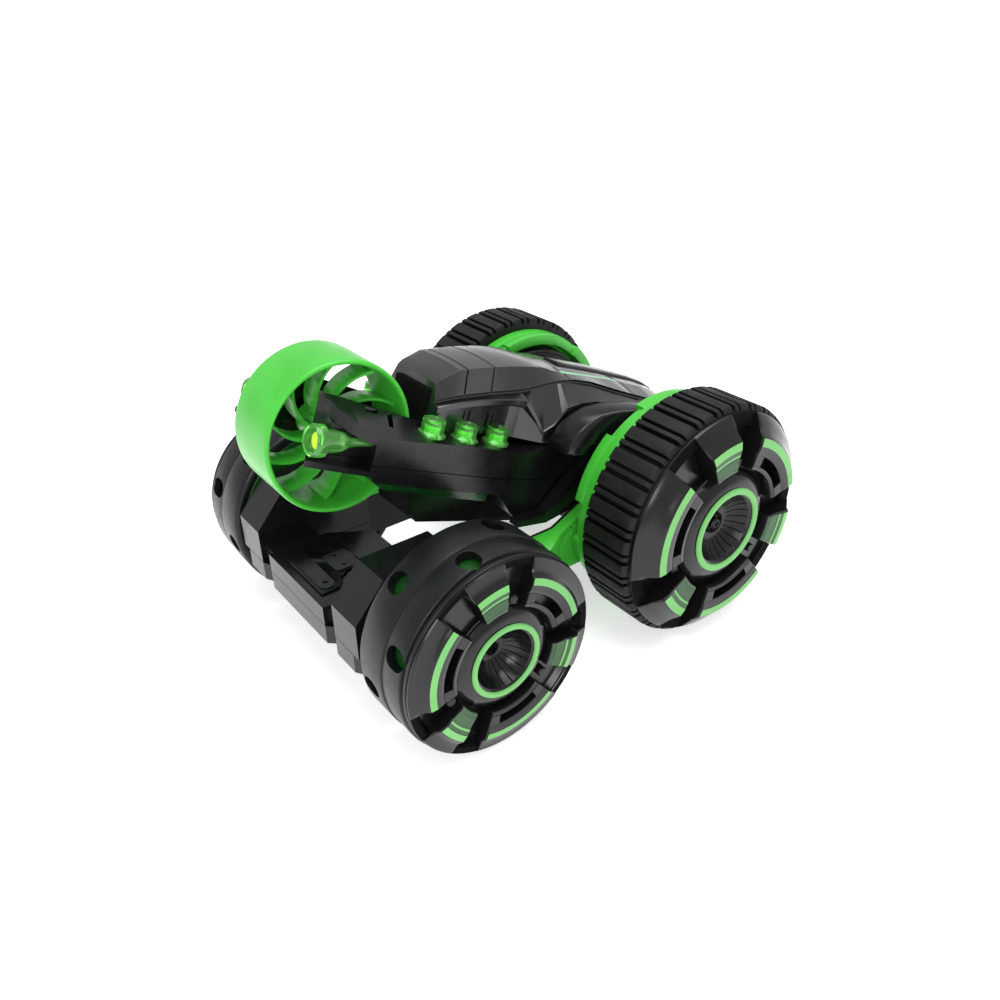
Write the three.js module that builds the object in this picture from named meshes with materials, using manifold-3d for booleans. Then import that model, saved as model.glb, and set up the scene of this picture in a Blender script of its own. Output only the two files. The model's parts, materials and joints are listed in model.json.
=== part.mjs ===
// Five-wheeled radio-controlled stunt car. Millimetres, +Z up, the car faces -Y, +X is its left side.
// The origin is on the ground, in the middle of the car's length and width.
import * as THREE from 'three';
import { mergeVertices } from 'three/addons/utils/BufferGeometryUtils.js';
import Module from 'manifold-3d';

const wasm = await Module();
wasm.setup();

// ---- driving dimensions -------------------------------------------------------------------
const GAP = 0.35;                       // clearance between touching pieces
const REAR = { y: 64, z: 60, r: 60 };   // rear axle and rear tyre radius
const FRONT = { y: -68.4, z: 48.1, r: 48.1 };
const PITCH = THREE.MathUtils.degToRad(20.5); // the upper body leans back by this angle

const TREAD_LUGS = 30;                  // one wide lug and one thin rib in each pitch
const TREAD_PITCH = 360 / TREAD_LUGS;
const LUG_HEIGHT = 2.6;
const TYRE = { inner: 62.75, outer: 91.65, bore: 50 };
const RIM = { inboard: 49.5, flange: 54, barrel: 49.6, wall: 3.2 };

const WIDE_BLOCKS = [40, 160, 280];     // middles of a wheel face's wide blocks, degrees from +Y towards +Z
const WIDE_HALF = 29;                   // half angles of its wide and narrow blocks, and of the arc slots
const NARROW_HALF = 12.5;
const ARC_SLOT_HALF = 19;

const FIFTH = { y: -166.8, z: 6.6, r: 34.1, half: 15.3, spokes: 10 }; // in the upper body's frame
const ARM = { inner: 16.6, outer: 33, split: 1 };
const HULL = { half: 16.2, rearHalf: 40, deck: 14.3, bottom: -32, nose: -126 };
const LAMP_PLACES = [-128.8, -110, -91];
const LAMP_HEIGHTS = [13.4, 12.2, 11.6]; // where each lamp's flange rests in the tilted deck
const LAMP_X = 24.8;
const LAMP = { flange: 6.5, cap: 5.2, stub: 3.4, height: 8.4, seat: 6.9 };
const HEADLAMP = { x: 29.6, z: 10.1, ring: 6.8, barrel: 4.8 };

const BEAM = { front: -114.2, rear: -54, bottom: 35, split: 44.5, centreTop: 54.5, endTop: 79 };
const END = { inner: 36.5, outer: 57 };
const CENTRE_HALF = 27;
const SIDE_ARM = { inner: 42.2, outer: 48.6 };
const LID = { inner: 40.7, outer: 41.9 };
const SHAFT_RADIUS = 2;
const DRUM_WINDOW_HALF = 5.4;           // degrees
const ROOF_SEAMS = [-111, -96.5];       // grooves across the top shell
const SHELL_WALL = 2;

// ---- materials ----------------------------------------------------------------------------
const finish = (color, roughness, metalness = 0, opacity = 1) =>
  new THREE.MeshStandardMaterial({ color, roughness, metalness, opacity, transparent: opacity < 1 });
const blackGloss = finish(0x0b0c0e, 0.2);
const blackSatin = finish(0x121314, 0.45);
const rubber = finish(0x161718, 0.8);
const green = finish(0x3fe03a, 0.3);
const paleGreen = finish(0x78c878, 0.45);
const lampGreen = finish(0x55e83c, 0.1, 0, 0.6);
const steel = finish(0xb8bcc0, 0.3, 1);
const boardGreen = finish(0x1d6a35, 0.5);
const batteryBlue = finish(0x2b55a8, 0.5);

// ---- solid helpers ------------------------------------------------------------------------
const rad = THREE.MathUtils.degToRad;

function solid(geometry) {
  const bare = geometry.clone();
  bare.deleteAttribute('normal');
  bare.deleteAttribute('uv');
  const merged = mergeVertices(bare, 1e-5);
  return new wasm.Manifold(new wasm.Mesh({
    numProp: 3,
    vertProperties: new Float32Array(merged.attributes.position.array),
    triVerts: new Uint32Array(merged.index.array),
  }));
}

function geometryOf(manifold) {
  const mesh = manifold.getMesh();
  const geometry = new THREE.BufferGeometry();
  geometry.setAttribute('position', new THREE.BufferAttribute(new Float32Array(mesh.vertProperties), 3));
  geometry.setIndex(new THREE.BufferAttribute(new Uint32Array(mesh.triVerts), 1));
  geometry.computeVertexNormals();
  return geometry;
}

const union = (solids) => solids.reduce((sum, next) => sum.add(next));
const cutAll = (body, cutters) => cutters.reduce((rest, cutter) => rest.subtract(cutter), body);

// A closed (r, x) outline turned about the X axis.
function turned(outline, segments = 40) {
  const points = outline.map(([r, x]) => new THREE.Vector2(r, x));
  const onAxis = outline[0][0] === 0 && outline[outline.length - 1][0] === 0;
  if (!onAxis) points.push(points[0].clone());
  const area = points.reduce((sum, p, i) => {
    const q = points[(i + 1) % points.length];
    return sum + p.x * q.y - q.x * p.y;
  }, 0);
  if (area < 0) points.reverse();
  return solid(new THREE.LatheGeometry(points, segments).rotateZ(-Math.PI / 2));
}

// A (y, z) outline pushed along X from x0 to x1.
function prism(outline, x0, x1) {
  const shape = new THREE.Shape(outline.map(([y, z]) => new THREE.Vector2(y, z)));
  const geometry = new THREE.ExtrudeGeometry(shape, { depth: x1 - x0, bevelEnabled: false });
  const basis = new THREE.Matrix4().makeBasis(
    new THREE.Vector3(0, 1, 0), new THREE.Vector3(0, 0, 1), new THREE.Vector3(1, 0, 0));
  return solid(geometry.applyMatrix4(basis).translate(x0, 0, 0));
}

// An (x, y) outline pushed along Z from z0 to z1.
function plate(outline, z0, z1) {
  const shape = new THREE.Shape(outline.map(([x, y]) => new THREE.Vector2(x, y)));
  const geometry = new THREE.ExtrudeGeometry(shape, { depth: z1 - z0, bevelEnabled: false });
  return solid(geometry.translate(0, 0, z0));
}

function block(x0, x1, y0, y1, z0, z1) {
  const geometry = new THREE.BoxGeometry(x1 - x0, y1 - y0, z1 - z0);
  return solid(geometry.translate((x0 + x1) / 2, (y0 + y1) / 2, (z0 + z1) / 2));
}

// A rod along X at (y, z).
function rod(radius, x0, x1, y = 0, z = 0, segments = 14) {
  const geometry = new THREE.CylinderGeometry(radius, radius, x1 - x0, segments);
  return solid(geometry.rotateZ(Math.PI / 2).translate((x0 + x1) / 2, y, z));
}

// A rod along Y or Z.
function rodY(radius, y0, y1, x, z, segments = 20) {
  const geometry = new THREE.CylinderGeometry(radius, radius, y1 - y0, segments);
  return solid(geometry.translate(x, (y0 + y1) / 2, z));
}
function rodZ(radius, z0, z1, x, y, segments = 20) {
  const geometry = new THREE.CylinderGeometry(radius, radius, z1 - z0, segments);
  return solid(geometry.rotateX(Math.PI / 2).translate(x, y, (z0 + z1) / 2));
}

// A ring sector about the X axis, between two angles in degrees.
function sector(r0, r1, from, to, x0, x1, steps = 4) {
  const at = (r, k) => {
    const angle = rad(from + ((to - from) * k) / steps);
    return [r * Math.cos(angle), r * Math.sin(angle)];
  };
  const outline = [];
  for (let k = 0; k <= steps; k += 1) outline.push(at(r1, k));
  for (let k = steps; k >= 0; k -= 1) outline.push(at(r0, k));
  return prism(outline, x0, x1);
}

function mirrored(geometry) {
  const copy = geometry.clone().scale(-1, 1, 1);
  const index = copy.index.array;
  for (let i = 0; i < index.length; i += 3) {
    const swap = index[i + 1];
    index[i + 1] = index[i + 2];
    index[i + 2] = swap;
  }
  copy.computeVertexNormals();
  return copy;
}

// ---- scene graph --------------------------------------------------------------------------
const car = new THREE.Group();
const groupAt = (y, z) => {
  const group = new THREE.Group();
  group.position.set(0, y, z);
  car.add(group);
  return group;
};
const rearAxleGroup = groupAt(REAR.y, REAR.z);
const frontAxleGroup = groupAt(FRONT.y, FRONT.z);
const upperBody = groupAt(REAR.y, REAR.z);
upperBody.rotation.x = -PITCH;

function addPart(parent, name, shape, material) {
  const geometry = shape.isBufferGeometry ? shape : geometryOf(shape);
  const mesh = new THREE.Mesh(geometry, material);
  mesh.name = name;
  parent.add(mesh);
}

function addPair(parent, name, shape, material) {
  const geometry = geometryOf(shape);
  addPart(parent, `left_${name}`, geometry, material);
  addPart(parent, `right_${name}`, mirrored(geometry), material);
}

// ---- rear wheels --------------------------------------------------------------------------
function rearTyre() {
  const lug = [[1.3, 1], [7.7, 1]];       // degrees into the pitch, 1 at the lug's top
  const rib = [[9.4, 1], [11.6, 1]];
  const foot = 0.35;
  const points = [];
  for (let n = 0; n < TREAD_LUGS; n += 1) {
    for (const step of [lug, rib]) {
      const rise = [[step[0][0] - foot, 0], ...step, [step[step.length - 1][0] + foot, 0]];
      for (const [angle, high] of rise) {
        const r = high ? REAR.r : REAR.r - LUG_HEIGHT;
        const turn = rad(n * TREAD_PITCH + angle);
        points.push([r * Math.cos(turn), r * Math.sin(turn)]);
      }
    }
  }
  const bore = rod(TYRE.bore, TYRE.inner - 1, TYRE.outer + 1, 0, 0, 36);
  return prism(points, TYRE.inner, TYRE.outer).subtract(bore);
}

function rearRim() {
  const { inboard, flange, barrel, wall } = RIM;
  const inside = barrel - wall;
  const seat = TYRE.inner - GAP;
  const bore = SHAFT_RADIUS + 0.6;
  const body = turned([[bore, 81], [bore, 88.2], [barrel, 88.2], [barrel, seat], [flange, seat],
    [flange, inboard], [inside, inboard], [inside, 84.5], [9, 84.5], [9, 81]], 30);
  const notches = [];
  for (let n = 0; n < 6; n += 1) {
    notches.push(sector(flange - 1.6, flange + 1, n * 60 + 8, n * 60 + 30, inboard - 1, inboard + 5));
  }
  return cutAll(body, notches);
}

// The cuts between the blocks of a wheel face, and the arc-shaped windows in its wide blocks.
function faceCuts(gapRadii, gapFloor, slotRadii, slotFloor, top) {
  const cuts = [];
  const between = (WIDE_HALF + (60 - NARROW_HALF)) / 2;
  const half = (60 - NARROW_HALF - WIDE_HALF) / 2;
  for (const centre of WIDE_BLOCKS) {
    for (const side of [-1, 1]) {
      const middle = centre + side * between;
      cuts.push(sector(...gapRadii, middle - half, middle + half, gapFloor, top, 2));
    }
    cuts.push(sector(...slotRadii, centre - ARC_SLOT_HALF, centre + ARC_SLOT_HALF, slotFloor, top, 6));
  }
  return cuts;
}

function rearFace() {
  const body = turned([[0, 88.6], [49.4, 88.6], [49.4, 92], [57, 92], [57, 93.4], [50.5, 98.2],
    [47.5, 101.6], [43, 102.4], [31.5, 101.4], [31, 96.5], [29.6, 95.6], [22.2, 100.1], [18, 100.1],
    [8.2, 91.8], [0, 91.8]], 24);
  return cutAll(body, faceCuts([30.5, 58], 93.2, [33, 38.5], 94, 103));
}

const hubRing = (r0, r1, x) => turned([[r0, x], [r1, x], [r1 - 0.3, x + 1], [r0 + 0.3, x + 1]], 24);

function wheelScrew(x) {
  const head = turned([[0, x], [3.2, x], [3.2, x + 1], [2.2, x + 1.8], [0, x + 1.8]], 12);
  const slots = [block(x + 0.9, x + 3, -0.4, 0.4, -1.6, 1.6), block(x + 0.9, x + 3, -1.6, 1.6, -0.4, 0.4)];
  return cutAll(head, slots);
}

addPair(rearAxleGroup, 'rear_tyre', rearTyre(), rubber);
addPair(rearAxleGroup, 'rear_rim', rearRim(), green);
addPair(rearAxleGroup, 'rear_wheel_face', rearFace(), blackGloss);
addPair(rearAxleGroup, 'rear_hub_ring', hubRing(18.3, 21.7, 100.4), paleGreen);
addPair(rearAxleGroup, 'rear_hub_screw', wheelScrew(92.15), steel);

// ---- front wheels -------------------------------------------------------------------------
function frontDrum() {
  const r = FRONT.r;
  const body = turned([[43.6, 61], [46.6, 61], [r, 63], [r, 92.4], [46.6, 93.6], [46.6, 95],
    [43.6, 95]], 30);
  const slots = [];
  for (let n = 0; n < 6; n += 1) {
    const outboard = 100 + n * 60;
    const inboard = outboard + 30;
    slots.push(sector(42, 50, outboard - DRUM_WINDOW_HALF, outboard + DRUM_WINDOW_HALF, 80, 92, 2));
    slots.push(sector(42, 50, inboard - DRUM_WINDOW_HALF, inboard + DRUM_WINDOW_HALF, 63.8, 74, 2));
  }
  return cutAll(body, slots);
}

function frontCore() {
  const bore = 2.8;
  return turned([[bore, 61.4], [42.9, 61.4], [42.9, 90.6], [40.6, 90.6], [40.6, 64.4], [20, 64.4],
    [20, 84.8], [bore, 84.8]], 24);
}

function frontFace() {
  const body = turned([[0, 85.2], [11, 85.2], [11, 91], [42.9, 91], [42.9, 95.35], [46.4, 95.35],
    [46.4, 96.2], [41, 97.6], [38.6, 99.6], [35, 100.2], [25.4, 99.2], [25, 95.8], [24.2, 95.2],
    [18, 98.1], [14.6, 98.1], [6.2, 87.4], [0, 87.4]], 24);
  return cutAll(body, faceCuts([24.7, 47.5], 96, [27, 31.4], 93.6, 101));
}

addPair(frontAxleGroup, 'front_wheel_drum', frontDrum(), blackSatin);
addPair(frontAxleGroup, 'front_wheel_core', frontCore(), green);
addPair(frontAxleGroup, 'front_wheel_face', frontFace(), blackGloss);
addPair(frontAxleGroup, 'front_hub_ring', hubRing(14.9, 17.5, 98.4), paleGreen);
addPair(frontAxleGroup, 'front_hub_screw', wheelScrew(87.75), steel);

// ---- lower frame: front beam, side arms, axles ----------------------------------------------
// The end housings stand taller than the beam's middle, with a sloping front.
function endHousing(z0) {
  const { front, rear, endTop } = BEAM;
  const low = Math.max(z0, BEAM.bottom);
  return prism([[front, low], [rear, low], [rear, 62], [rear - 10, endTop], [front + 15, endTop],
    [front, 62]], END.inner, END.outer);
}

function beamLower() {
  const { front, rear, bottom, split } = BEAM;
  const outline = [[-END.outer, front + 3], [-END.outer + 5, front], [-END.inner, front],
    [-CENTRE_HALF - 3, front + 3], [-CENTRE_HALF, front], [CENTRE_HALF, front],
    [CENTRE_HALF + 3, front + 3], [END.inner, front], [END.outer - 5, front], [END.outer, front + 3],
    [END.outer, rear], [END.inner, rear], [END.inner, front + 28], [19, front + 32], [14, front + 50],
    [-14, front + 50], [-19, front + 32], [-END.inner, front + 28], [-END.inner, rear],
    [-END.outer, rear]];
  const trays = [-1, 1].map((side) => {
    const xs = [side * (END.inner + 2.5), side * (END.outer - 2.5)].sort((a, b) => a - b);
    return block(...xs, front + 10, rear - 3, bottom + 2.5, split + 1);
  });
  const middle = block(-21, 21, front + 4, front + 24, bottom + 2.5, split + 1);
  return cutAll(plate(outline, bottom, split), [...trays, middle]);
}

function beamUpper() {
  const { front, rear, split, centreTop } = BEAM;
  const z0 = split + GAP;
  const left = endHousing(z0);
  const right = solid(mirrored(geometryOf(left)));
  const middle = block(-END.inner - 1, END.inner + 1, front + 3, front + 28, z0, centreTop - 1.5);
  const centre = plate([[-CENTRE_HALF, front], [CENTRE_HALF, front], [CENTRE_HALF, front + 30],
    [14, front + 50], [-14, front + 50], [-CENTRE_HALF, front + 30]], z0, centreTop);
  const hollows = [-1, 1].map((side) => {
    const xs = [side * (END.inner + 2.5), side * (END.outer - 2.5)].sort((a, b) => a - b);
    return block(...xs, front + 14, rear - 12, z0 - 1, 74);
  });
  const pinBores = [-1, 1].map((side) => {
    const xs = [side * (END.outer - 7), side * (END.outer + 1)].sort((a, b) => a - b);
    return rod(2.5, ...xs, FRONT.y, FRONT.z);
  });
  const pocket = block(-19, 19, front + 4, front + 24, z0 - 1, centreTop - 2.5);
  return cutAll(union([left, right, middle, centre]), [...hollows, ...pinBores, pocket]);
}

function beamCover() {
  const top = BEAM.centreTop + GAP;
  const front = BEAM.front;
  const lid = plate([[-19, front + 4], [19, front + 4], [19, front + 15], [13, front + 17],
    [9, front + 23], [9, front + 31], [-9, front + 31], [-9, front + 23], [-13, front + 17],
    [-19, front + 15]], top, top + 0.9);
  const bar = plate([[-17, front + 7], [-15, front + 5], [15, front + 5], [17, front + 7],
    [17, front + 12], [15, front + 14], [-15, front + 14], [-17, front + 12]], top + 0.5, top + 1.9);
  const tab = block(-7.5, 7.5, front + 18, front + 30, top + 0.5, top + 1.5);
  const holes = [-5.2, 5.2].map((x) => rodZ(0.95, top + 1, top + 3, x, front + 22, 10));
  return cutAll(union([lid, bar, tab]), holes);
}

// The hollow of a side arm, in the (y, z) plane.
const ARM_ROOM = [[BEAM.rear + 4, 37], [BEAM.rear + 4, 53], [REAR.y - 59, 53], [REAR.y - 31, 66],
  [REAR.y + 4, 76], [REAR.y + 16, 66], [REAR.y + 16, 52], [REAR.y + 4, 44], [REAR.y - 14, 43],
  [REAR.y - 40, 37]];

function sideArm() {
  const front = BEAM.rear + GAP;
  const inner = prism([[front, 34], [front, 56], [REAR.y - 60, 56], [REAR.y - 34, 68],
    [REAR.y - 16, 78], [REAR.y + 8, 80], [REAR.y + 20, 68], [REAR.y + 20, 50], [REAR.y + 8, 40],
    [REAR.y - 14, 40], [REAR.y - 40, 34]], SIDE_ARM.inner, SIDE_ARM.outer);
  const outer = plate([[SIDE_ARM.inner, front], [END.outer, front], [END.outer, REAR.y - 74],
    [SIDE_ARM.outer, REAR.y - 60], [SIDE_ARM.inner, REAR.y - 60]], 34, 56);
  const hollow = prism(ARM_ROOM, SIDE_ARM.inner - 1, SIDE_ARM.outer - 2);
  const bore = rod(SHAFT_RADIUS + GAP, SIDE_ARM.inner - 2, END.outer, REAR.y, REAR.z);
  const armBoss = rod(5, SIDE_ARM.inner + 2, SIDE_ARM.outer - 1, REAR.y, REAR.z);
  return cutAll(union([inner, outer]), [hollow]).add(armBoss).subtract(bore);
}

// A flat lid over the arm's inner side, with the hub's bore.
function sideArmCover() {
  const lid = prism([[BEAM.rear + GAP, 34], [BEAM.rear + GAP, 56], [REAR.y - 60, 56], [REAR.y - 34, 68],
    [REAR.y - 16, 78], [REAR.y + 8, 80], [REAR.y + 20, 68], [REAR.y + 20, 50], [REAR.y + 8, 40],
    [REAR.y - 14, 40], [REAR.y - 40, 34]], LID.inner, LID.outer);
  return lid.subtract(rod(SHAFT_RADIUS + GAP, 0, 60, REAR.y, REAR.z));
}

function gearboxDrum() {
  const bore = SHAFT_RADIUS + GAP;
  return turned([[bore, SIDE_ARM.outer + GAP], [44.4, SIDE_ARM.outer + GAP], [45.4, 50.2], [45.4, 54.6],
    [42, 59], [30, 66], [14, 79.5], [bore, 79.5]], 30);
}

const motor = () => {
  const y = BEAM.front + 15;
  const can = block(39.8, 53.7, y, y + 22, 48, 66);
  return union([can, rodY(1, y + 21, y + 28, 46.7, 57, 12)]);
};

addPart(car, 'front_beam_lower', beamLower(), blackGloss);
addPart(car, 'front_beam_upper', beamUpper(), blackGloss);
addPart(car, 'front_beam_cover', beamCover(), blackSatin);
addPair(car, 'side_arm', sideArm(), green);
addPair(car, 'side_arm_cover', sideArmCover(), blackSatin);
addPair(rearAxleGroup, 'gearbox_drum', gearboxDrum(), blackSatin);
addPair(car, 'drive_motor', motor(), steel);
addPair(frontAxleGroup, 'front_axle_pin', rod(2.2, 54.2, 84.6), steel);
addPart(rearAxleGroup, 'rear_axle', rod(SHAFT_RADIUS, -87.5, 87.5), steel);

// ---- upper body ---------------------------------------------------------------------------
// Stations of the top shell: place along the body, half width, roof height, shoulder height.
const STATIONS = [
  { y: HULL.nose, half: 18, waist: HULL.half, roof: 33, shoulder: 29 },
  { y: -111, half: 19, waist: HULL.half, roof: 41, shoulder: 30 },
  { y: -90, half: 20, waist: HULL.half, roof: 46, shoulder: 31 },
  { y: -72, half: 21.5, waist: 19, roof: 48.5, shoulder: 33 },
  { y: -56, half: 26, waist: 25, roof: 48.5, shoulder: 33 },
  { y: -44, half: 31, waist: 31, roof: 48, shoulder: 33 },
  { y: -20, half: 32.6, waist: 32.6, roof: 47, shoulder: 34 },
  { y: 8, half: 32.6, waist: 32.6, roof: 46, shoulder: 34 },
  { y: 28, half: 31, waist: 31, roof: 43.5, shoulder: 33 },
  { y: 40, half: 27, waist: 27, roof: 39, shoulder: 30 },
];

// One half-section from the left foot over the roof to the right foot.
function sectionOf(station, inset) {
  const foot = HULL.deck + (inset > 0 ? -1 : GAP);
  const half = station.half - inset;
  const roof = station.roof - inset;
  const shoulder = station.shoulder - inset * 0.5;
  const waist = station.waist - inset;
  const bend = half * 0.82;
  const left = [[waist, foot], [waist, foot + 5.5], [half, foot + 7.5], [half, shoulder - 3],
    [half * 0.97, shoulder], [bend, shoulder + 1.5], [half * 0.74, roof - 4],
    [half * 0.62, roof - 1.2], [half * 0.4, roof]];
  const right = left.map(([x, z]) => [-x, z]).reverse();
  return [...left, ...right];
}

// Skins a run of sections of equal point count, with flat ends.
function loft(sections) {
  const count = sections[0].points.length;
  const positions = [];
  const index = [];
  for (const { y, points } of sections) {
    for (const [x, z] of points) positions.push(x, y, z);
  }
  for (let s = 0; s + 1 < sections.length; s += 1) {
    for (let p = 0; p < count; p += 1) {
      const a = s * count + p;
      const b = s * count + ((p + 1) % count);
      index.push(a, a + count, b, b, a + count, b + count);
    }
  }
  const last = (sections.length - 1) * count;
  for (let p = 1; p + 1 < count; p += 1) {
    index.push(0, p, p + 1);
    index.push(last, last + p + 1, last + p);
  }
  const geometry = new THREE.BufferGeometry();
  geometry.setAttribute('position', new THREE.BufferAttribute(new Float32Array(positions), 3));
  geometry.setIndex(index);
  return solid(geometry);
}

const shellOuter = loft(STATIONS.map((s) => ({ y: s.y, points: sectionOf(s, 0) })));

function topShell() {
  const inside = STATIONS.map((s) => ({ y: s.y, points: sectionOf(s, SHELL_WALL) }));
  inside[0].y += SHELL_WALL;
  inside[inside.length - 1].y -= SHELL_WALL;
  const belowGroove = shellOuter.translate([0, 0, -0.8]);
  const grooves = ROOF_SEAMS.map((y) => block(-40, 40, y - 0.4, y + 0.4, 37, 60).subtract(belowGroove));
  return cutAll(shellOuter, [loft(inside), ...grooves]);
}

// A low ridge along the middle of the roof, lying on the shell.
function spineCover() {
  const ridge = prism([[-46, 44], [-43, 49.3], [-20, 48.5], [8, 47.5], [26, 45.1], [30, 41]], -7, 7);
  return ridge.subtract(shellOuter.translate([0, 0, GAP]));
}

function hullShell() {
  const { half, rearHalf, deck, bottom, nose } = HULL;
  const frontBox = prism([[nose, deck], [nose - 1, -18], [nose + 8, bottom], [-30, bottom], [-30, deck]],
    -half, half);
  const rearOutline = [[-42, deck], [-42, -10], [-32, -26], [20, -26], [36, -6], [38, deck]];
  const rearBox = prism(rearOutline, -rearHalf, rearHalf);
  const frontRoom = prism([[nose + 2.4, deck + 1], [nose + 1.6, -17.4], [nose + 9.6, bottom + 2],
    [-30, bottom + 2], [-30, deck + 1]], -half + 2, half - 2);
  const rearRoom = prism([[-39.6, deck + 1], [-39.6, -9.4], [-31, -23.8], [19, -23.8], [34, -5],
    [36, deck + 1]], -rearHalf + 2, rearHalf - 2);
  const doorway = block(-12.4, 12.4, -112.4, -61.6, bottom - 1, bottom + 3);
  const switchSlot = block(-5, 5, -51, -46, bottom - 1, bottom + 3);
  const bore = rod(SHAFT_RADIUS + 0.5, -rearHalf - 1, rearHalf + 1);
  const skirt = [-1, 1].map((side) => {
    const xs = [side * (ARM.outer + GAP), side * 40].sort((a, b) => a - b);
    return prism([[-41, 6], [-45, 6], [-60, -18], [-76, -22], [-76, -25], [-58, -22.5], [-41, -14]], ...xs);
  });
  return cutAll(union([frontBox, rearBox, ...skirt]), [frontRoom, rearRoom, doorway, switchSlot, bore]);
}

// Arch-shaped fairing beside the shell, over the top of the rear wheel's hub.
function wheelFairing() {
  return prism([[-66.5, 15], [-65.6, 19], [-63, 25.5], [-58.3, 30.8], [-50, 35.8], [-36.3, 39.2],
    [-20, 40.6], [4, 40.2], [20, 38], [31, 34.2], [37, 30.4], [35, 26.5], [0, 26.5], [-30, 24.5],
    [-44, 21], [-48, 15]], 33.3, 47.5);
}

// A plain panel on the nose, narrower towards its foot.
function nosePanel() {
  const y = HULL.nose - GAP;
  const outline = [[-13, y], [13, y], [11.6, y - 2], [-11.6, y - 2]];
  return plate(outline, 16.5, 31);
}

// A knob that slides in the hull's slot, with a wider foot inside.
function powerSwitch() {
  const { bottom } = HULL;
  const knob = block(-4.6, -0.6, -50.4, -46.6, bottom - 2, bottom + 3);
  const foot = block(-6.5, 1.5, -52.5, -44.5, bottom + 2 + GAP, bottom + 3.6);
  return knob.add(foot);
}

addPart(upperBody, 'body_top_shell', topShell(), blackGloss);
addPart(upperBody, 'spine_cover', spineCover(), blackGloss);
addPart(upperBody, 'hull_lower_shell', hullShell(), blackGloss);
addPart(upperBody, 'nose_panel', nosePanel(), blackSatin);
addPair(upperBody, 'wheel_fairing', wheelFairing(), blackGloss);
addPart(upperBody, 'battery_door', block(-12, 12, -112, -62, HULL.bottom, HULL.bottom + 2), blackSatin);
addPart(upperBody, 'battery_pack', block(-11, 11, -110, -64, -28.5, -10), batteryBlue);
addPart(upperBody, 'circuit_board', block(-12.5, 12.5, -108, -56, -6, -4.4), boardGreen);
addPart(upperBody, 'power_switch', powerSwitch(), blackSatin);

// ---- fork arms with lamps -----------------------------------------------------------------
const axleBore = () => rod(SHAFT_RADIUS + GAP, ARM.inner - 1, ARM.inner + 5.4, FIFTH.y, FIFTH.z);
const podRecess = () => prism([[-196, 3.4], [-161, -1.6], [-161, 10.4], [-177, 15.8], [-188, 26],
  [-196, 26]], 23.5, 35);
// The tip is swept: its inner side stops short of its outer side.
const tipSweep = () => plate([[10, -200], [34, -200], [34, -193.2], [ARM.inner, -182.6], [10, -178.3]],
  -20, 40);
// Over the headlamp, the roof is cut back along a slanting curve.
const roofSweep = () => plate([[20.3, -200], [40, -200], [40, -161.3], [33.4, -161.3], [31, -168.5],
  [27.5, -175], [23.6, -180.5], [20.3, -186.5]], 4.6, 40);

// Stations of the deck: place along the arm, height at its outer and inner edges.
const DECK = [
  { y: -192.6, outer: 29, inner: 28 },
  { y: -190, outer: 29.5, inner: 28 },
  { y: -178, outer: 19.2, inner: 26 },
  { y: -160, outer: 14, inner: 22.6 },
  { y: -135, outer: 12.6, inner: 18 },
  { y: -111, outer: 12.2, inner: 14.6 },
  { y: -87, outer: 10.4, inner: 12.2 },
  { y: -80, outer: 9.4, inner: 12 },
  { y: -74, outer: 10.6, inner: 12.2 },
  { y: -67, outer: 13.6, inner: 13.6 },
  { y: -62, outer: 14.3, inner: 14 },
  { y: -43, outer: 14.3, inner: 14 },
];

function armUpper() {
  const z0 = ARM.split + 0.2;
  const { inner, outer } = ARM;
  const body = loft(DECK.map((d) => ({
    y: d.y,
    points: [[outer, z0], [outer, d.outer], [inner, d.inner], [inner, z0]],
  })));
  const room = block(inner + 2, outer - 2, -155, -46, z0 - 1, 7.4);
  const lampHoles = LAMP_PLACES.map((y) => rodZ(3.8, 5, 20, LAMP_X, y));
  const lampSeats = LAMP_PLACES.map((y, n) => rodZ(LAMP.seat, LAMP_HEIGHTS[n] - 0.3, 24, LAMP_X, y));
  return cutAll(body, [room, podRecess(), axleBore(), tipSweep(), roofSweep(), ...lampHoles, ...lampSeats]);
}

function armLower() {
  const z1 = ARM.split - 0.2;
  const body = prism([[-192.5, z1], [-192.4, 0.2], [-160.5, -3.6], [-158.5, -6], [-128, -8.5],
    [-87, -11], [-77, -21], [-64, -25], [-52, -17], [-43, -4], [-43, z1]], ARM.inner, ARM.outer);
  const room = prism([[-150, z1 + 1], [-150, -4], [-128, -6], [-86, -8.6], [-76, -18], [-64, -22],
    [-54, -15], [-46, -4], [-46, z1 + 1]], ARM.inner + 2, ARM.outer - 2);
  return cutAll(body, [room, podRecess(), axleBore(), tipSweep()]);
}

function deckLamp(y, z) {
  const { flange, cap, stub, height } = LAMP;
  const outline = [[0, z - 5], [stub, z - 5], [stub, z], [flange, z], [flange, z + 1.6], [cap, z + 2.3],
    [cap, z + height - 0.7], [cap - 0.7, z + height], [0, z + height]];
  const points = outline.map(([r, h]) => new THREE.Vector2(r, h));
  return solid(new THREE.LatheGeometry(points, 12).rotateX(Math.PI / 2).translate(LAMP_X, y, 0));
}

function headlamp() {
  const { x, z, ring, barrel } = HEADLAMP;
  const cup = rodY(barrel, -186, -174, x, z, 14);
  const lens = rodY(ring, -190, -185, x, z, 14);
  const dish = rodY(barrel + 0.2, -191, -188, x, z, 14);
  const stem = rodY(1.8, -182, -161.6, x, z - 2, 8);
  return union([cup, lens, stem]).subtract(dish);
}

const lightStrip = () => prism([[-152, -7.2], [-128, -9.2], [-93, -11.1], [-93, -15], [-128, -12.2],
  [-152, -9.8]], 21, 31.5);

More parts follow.
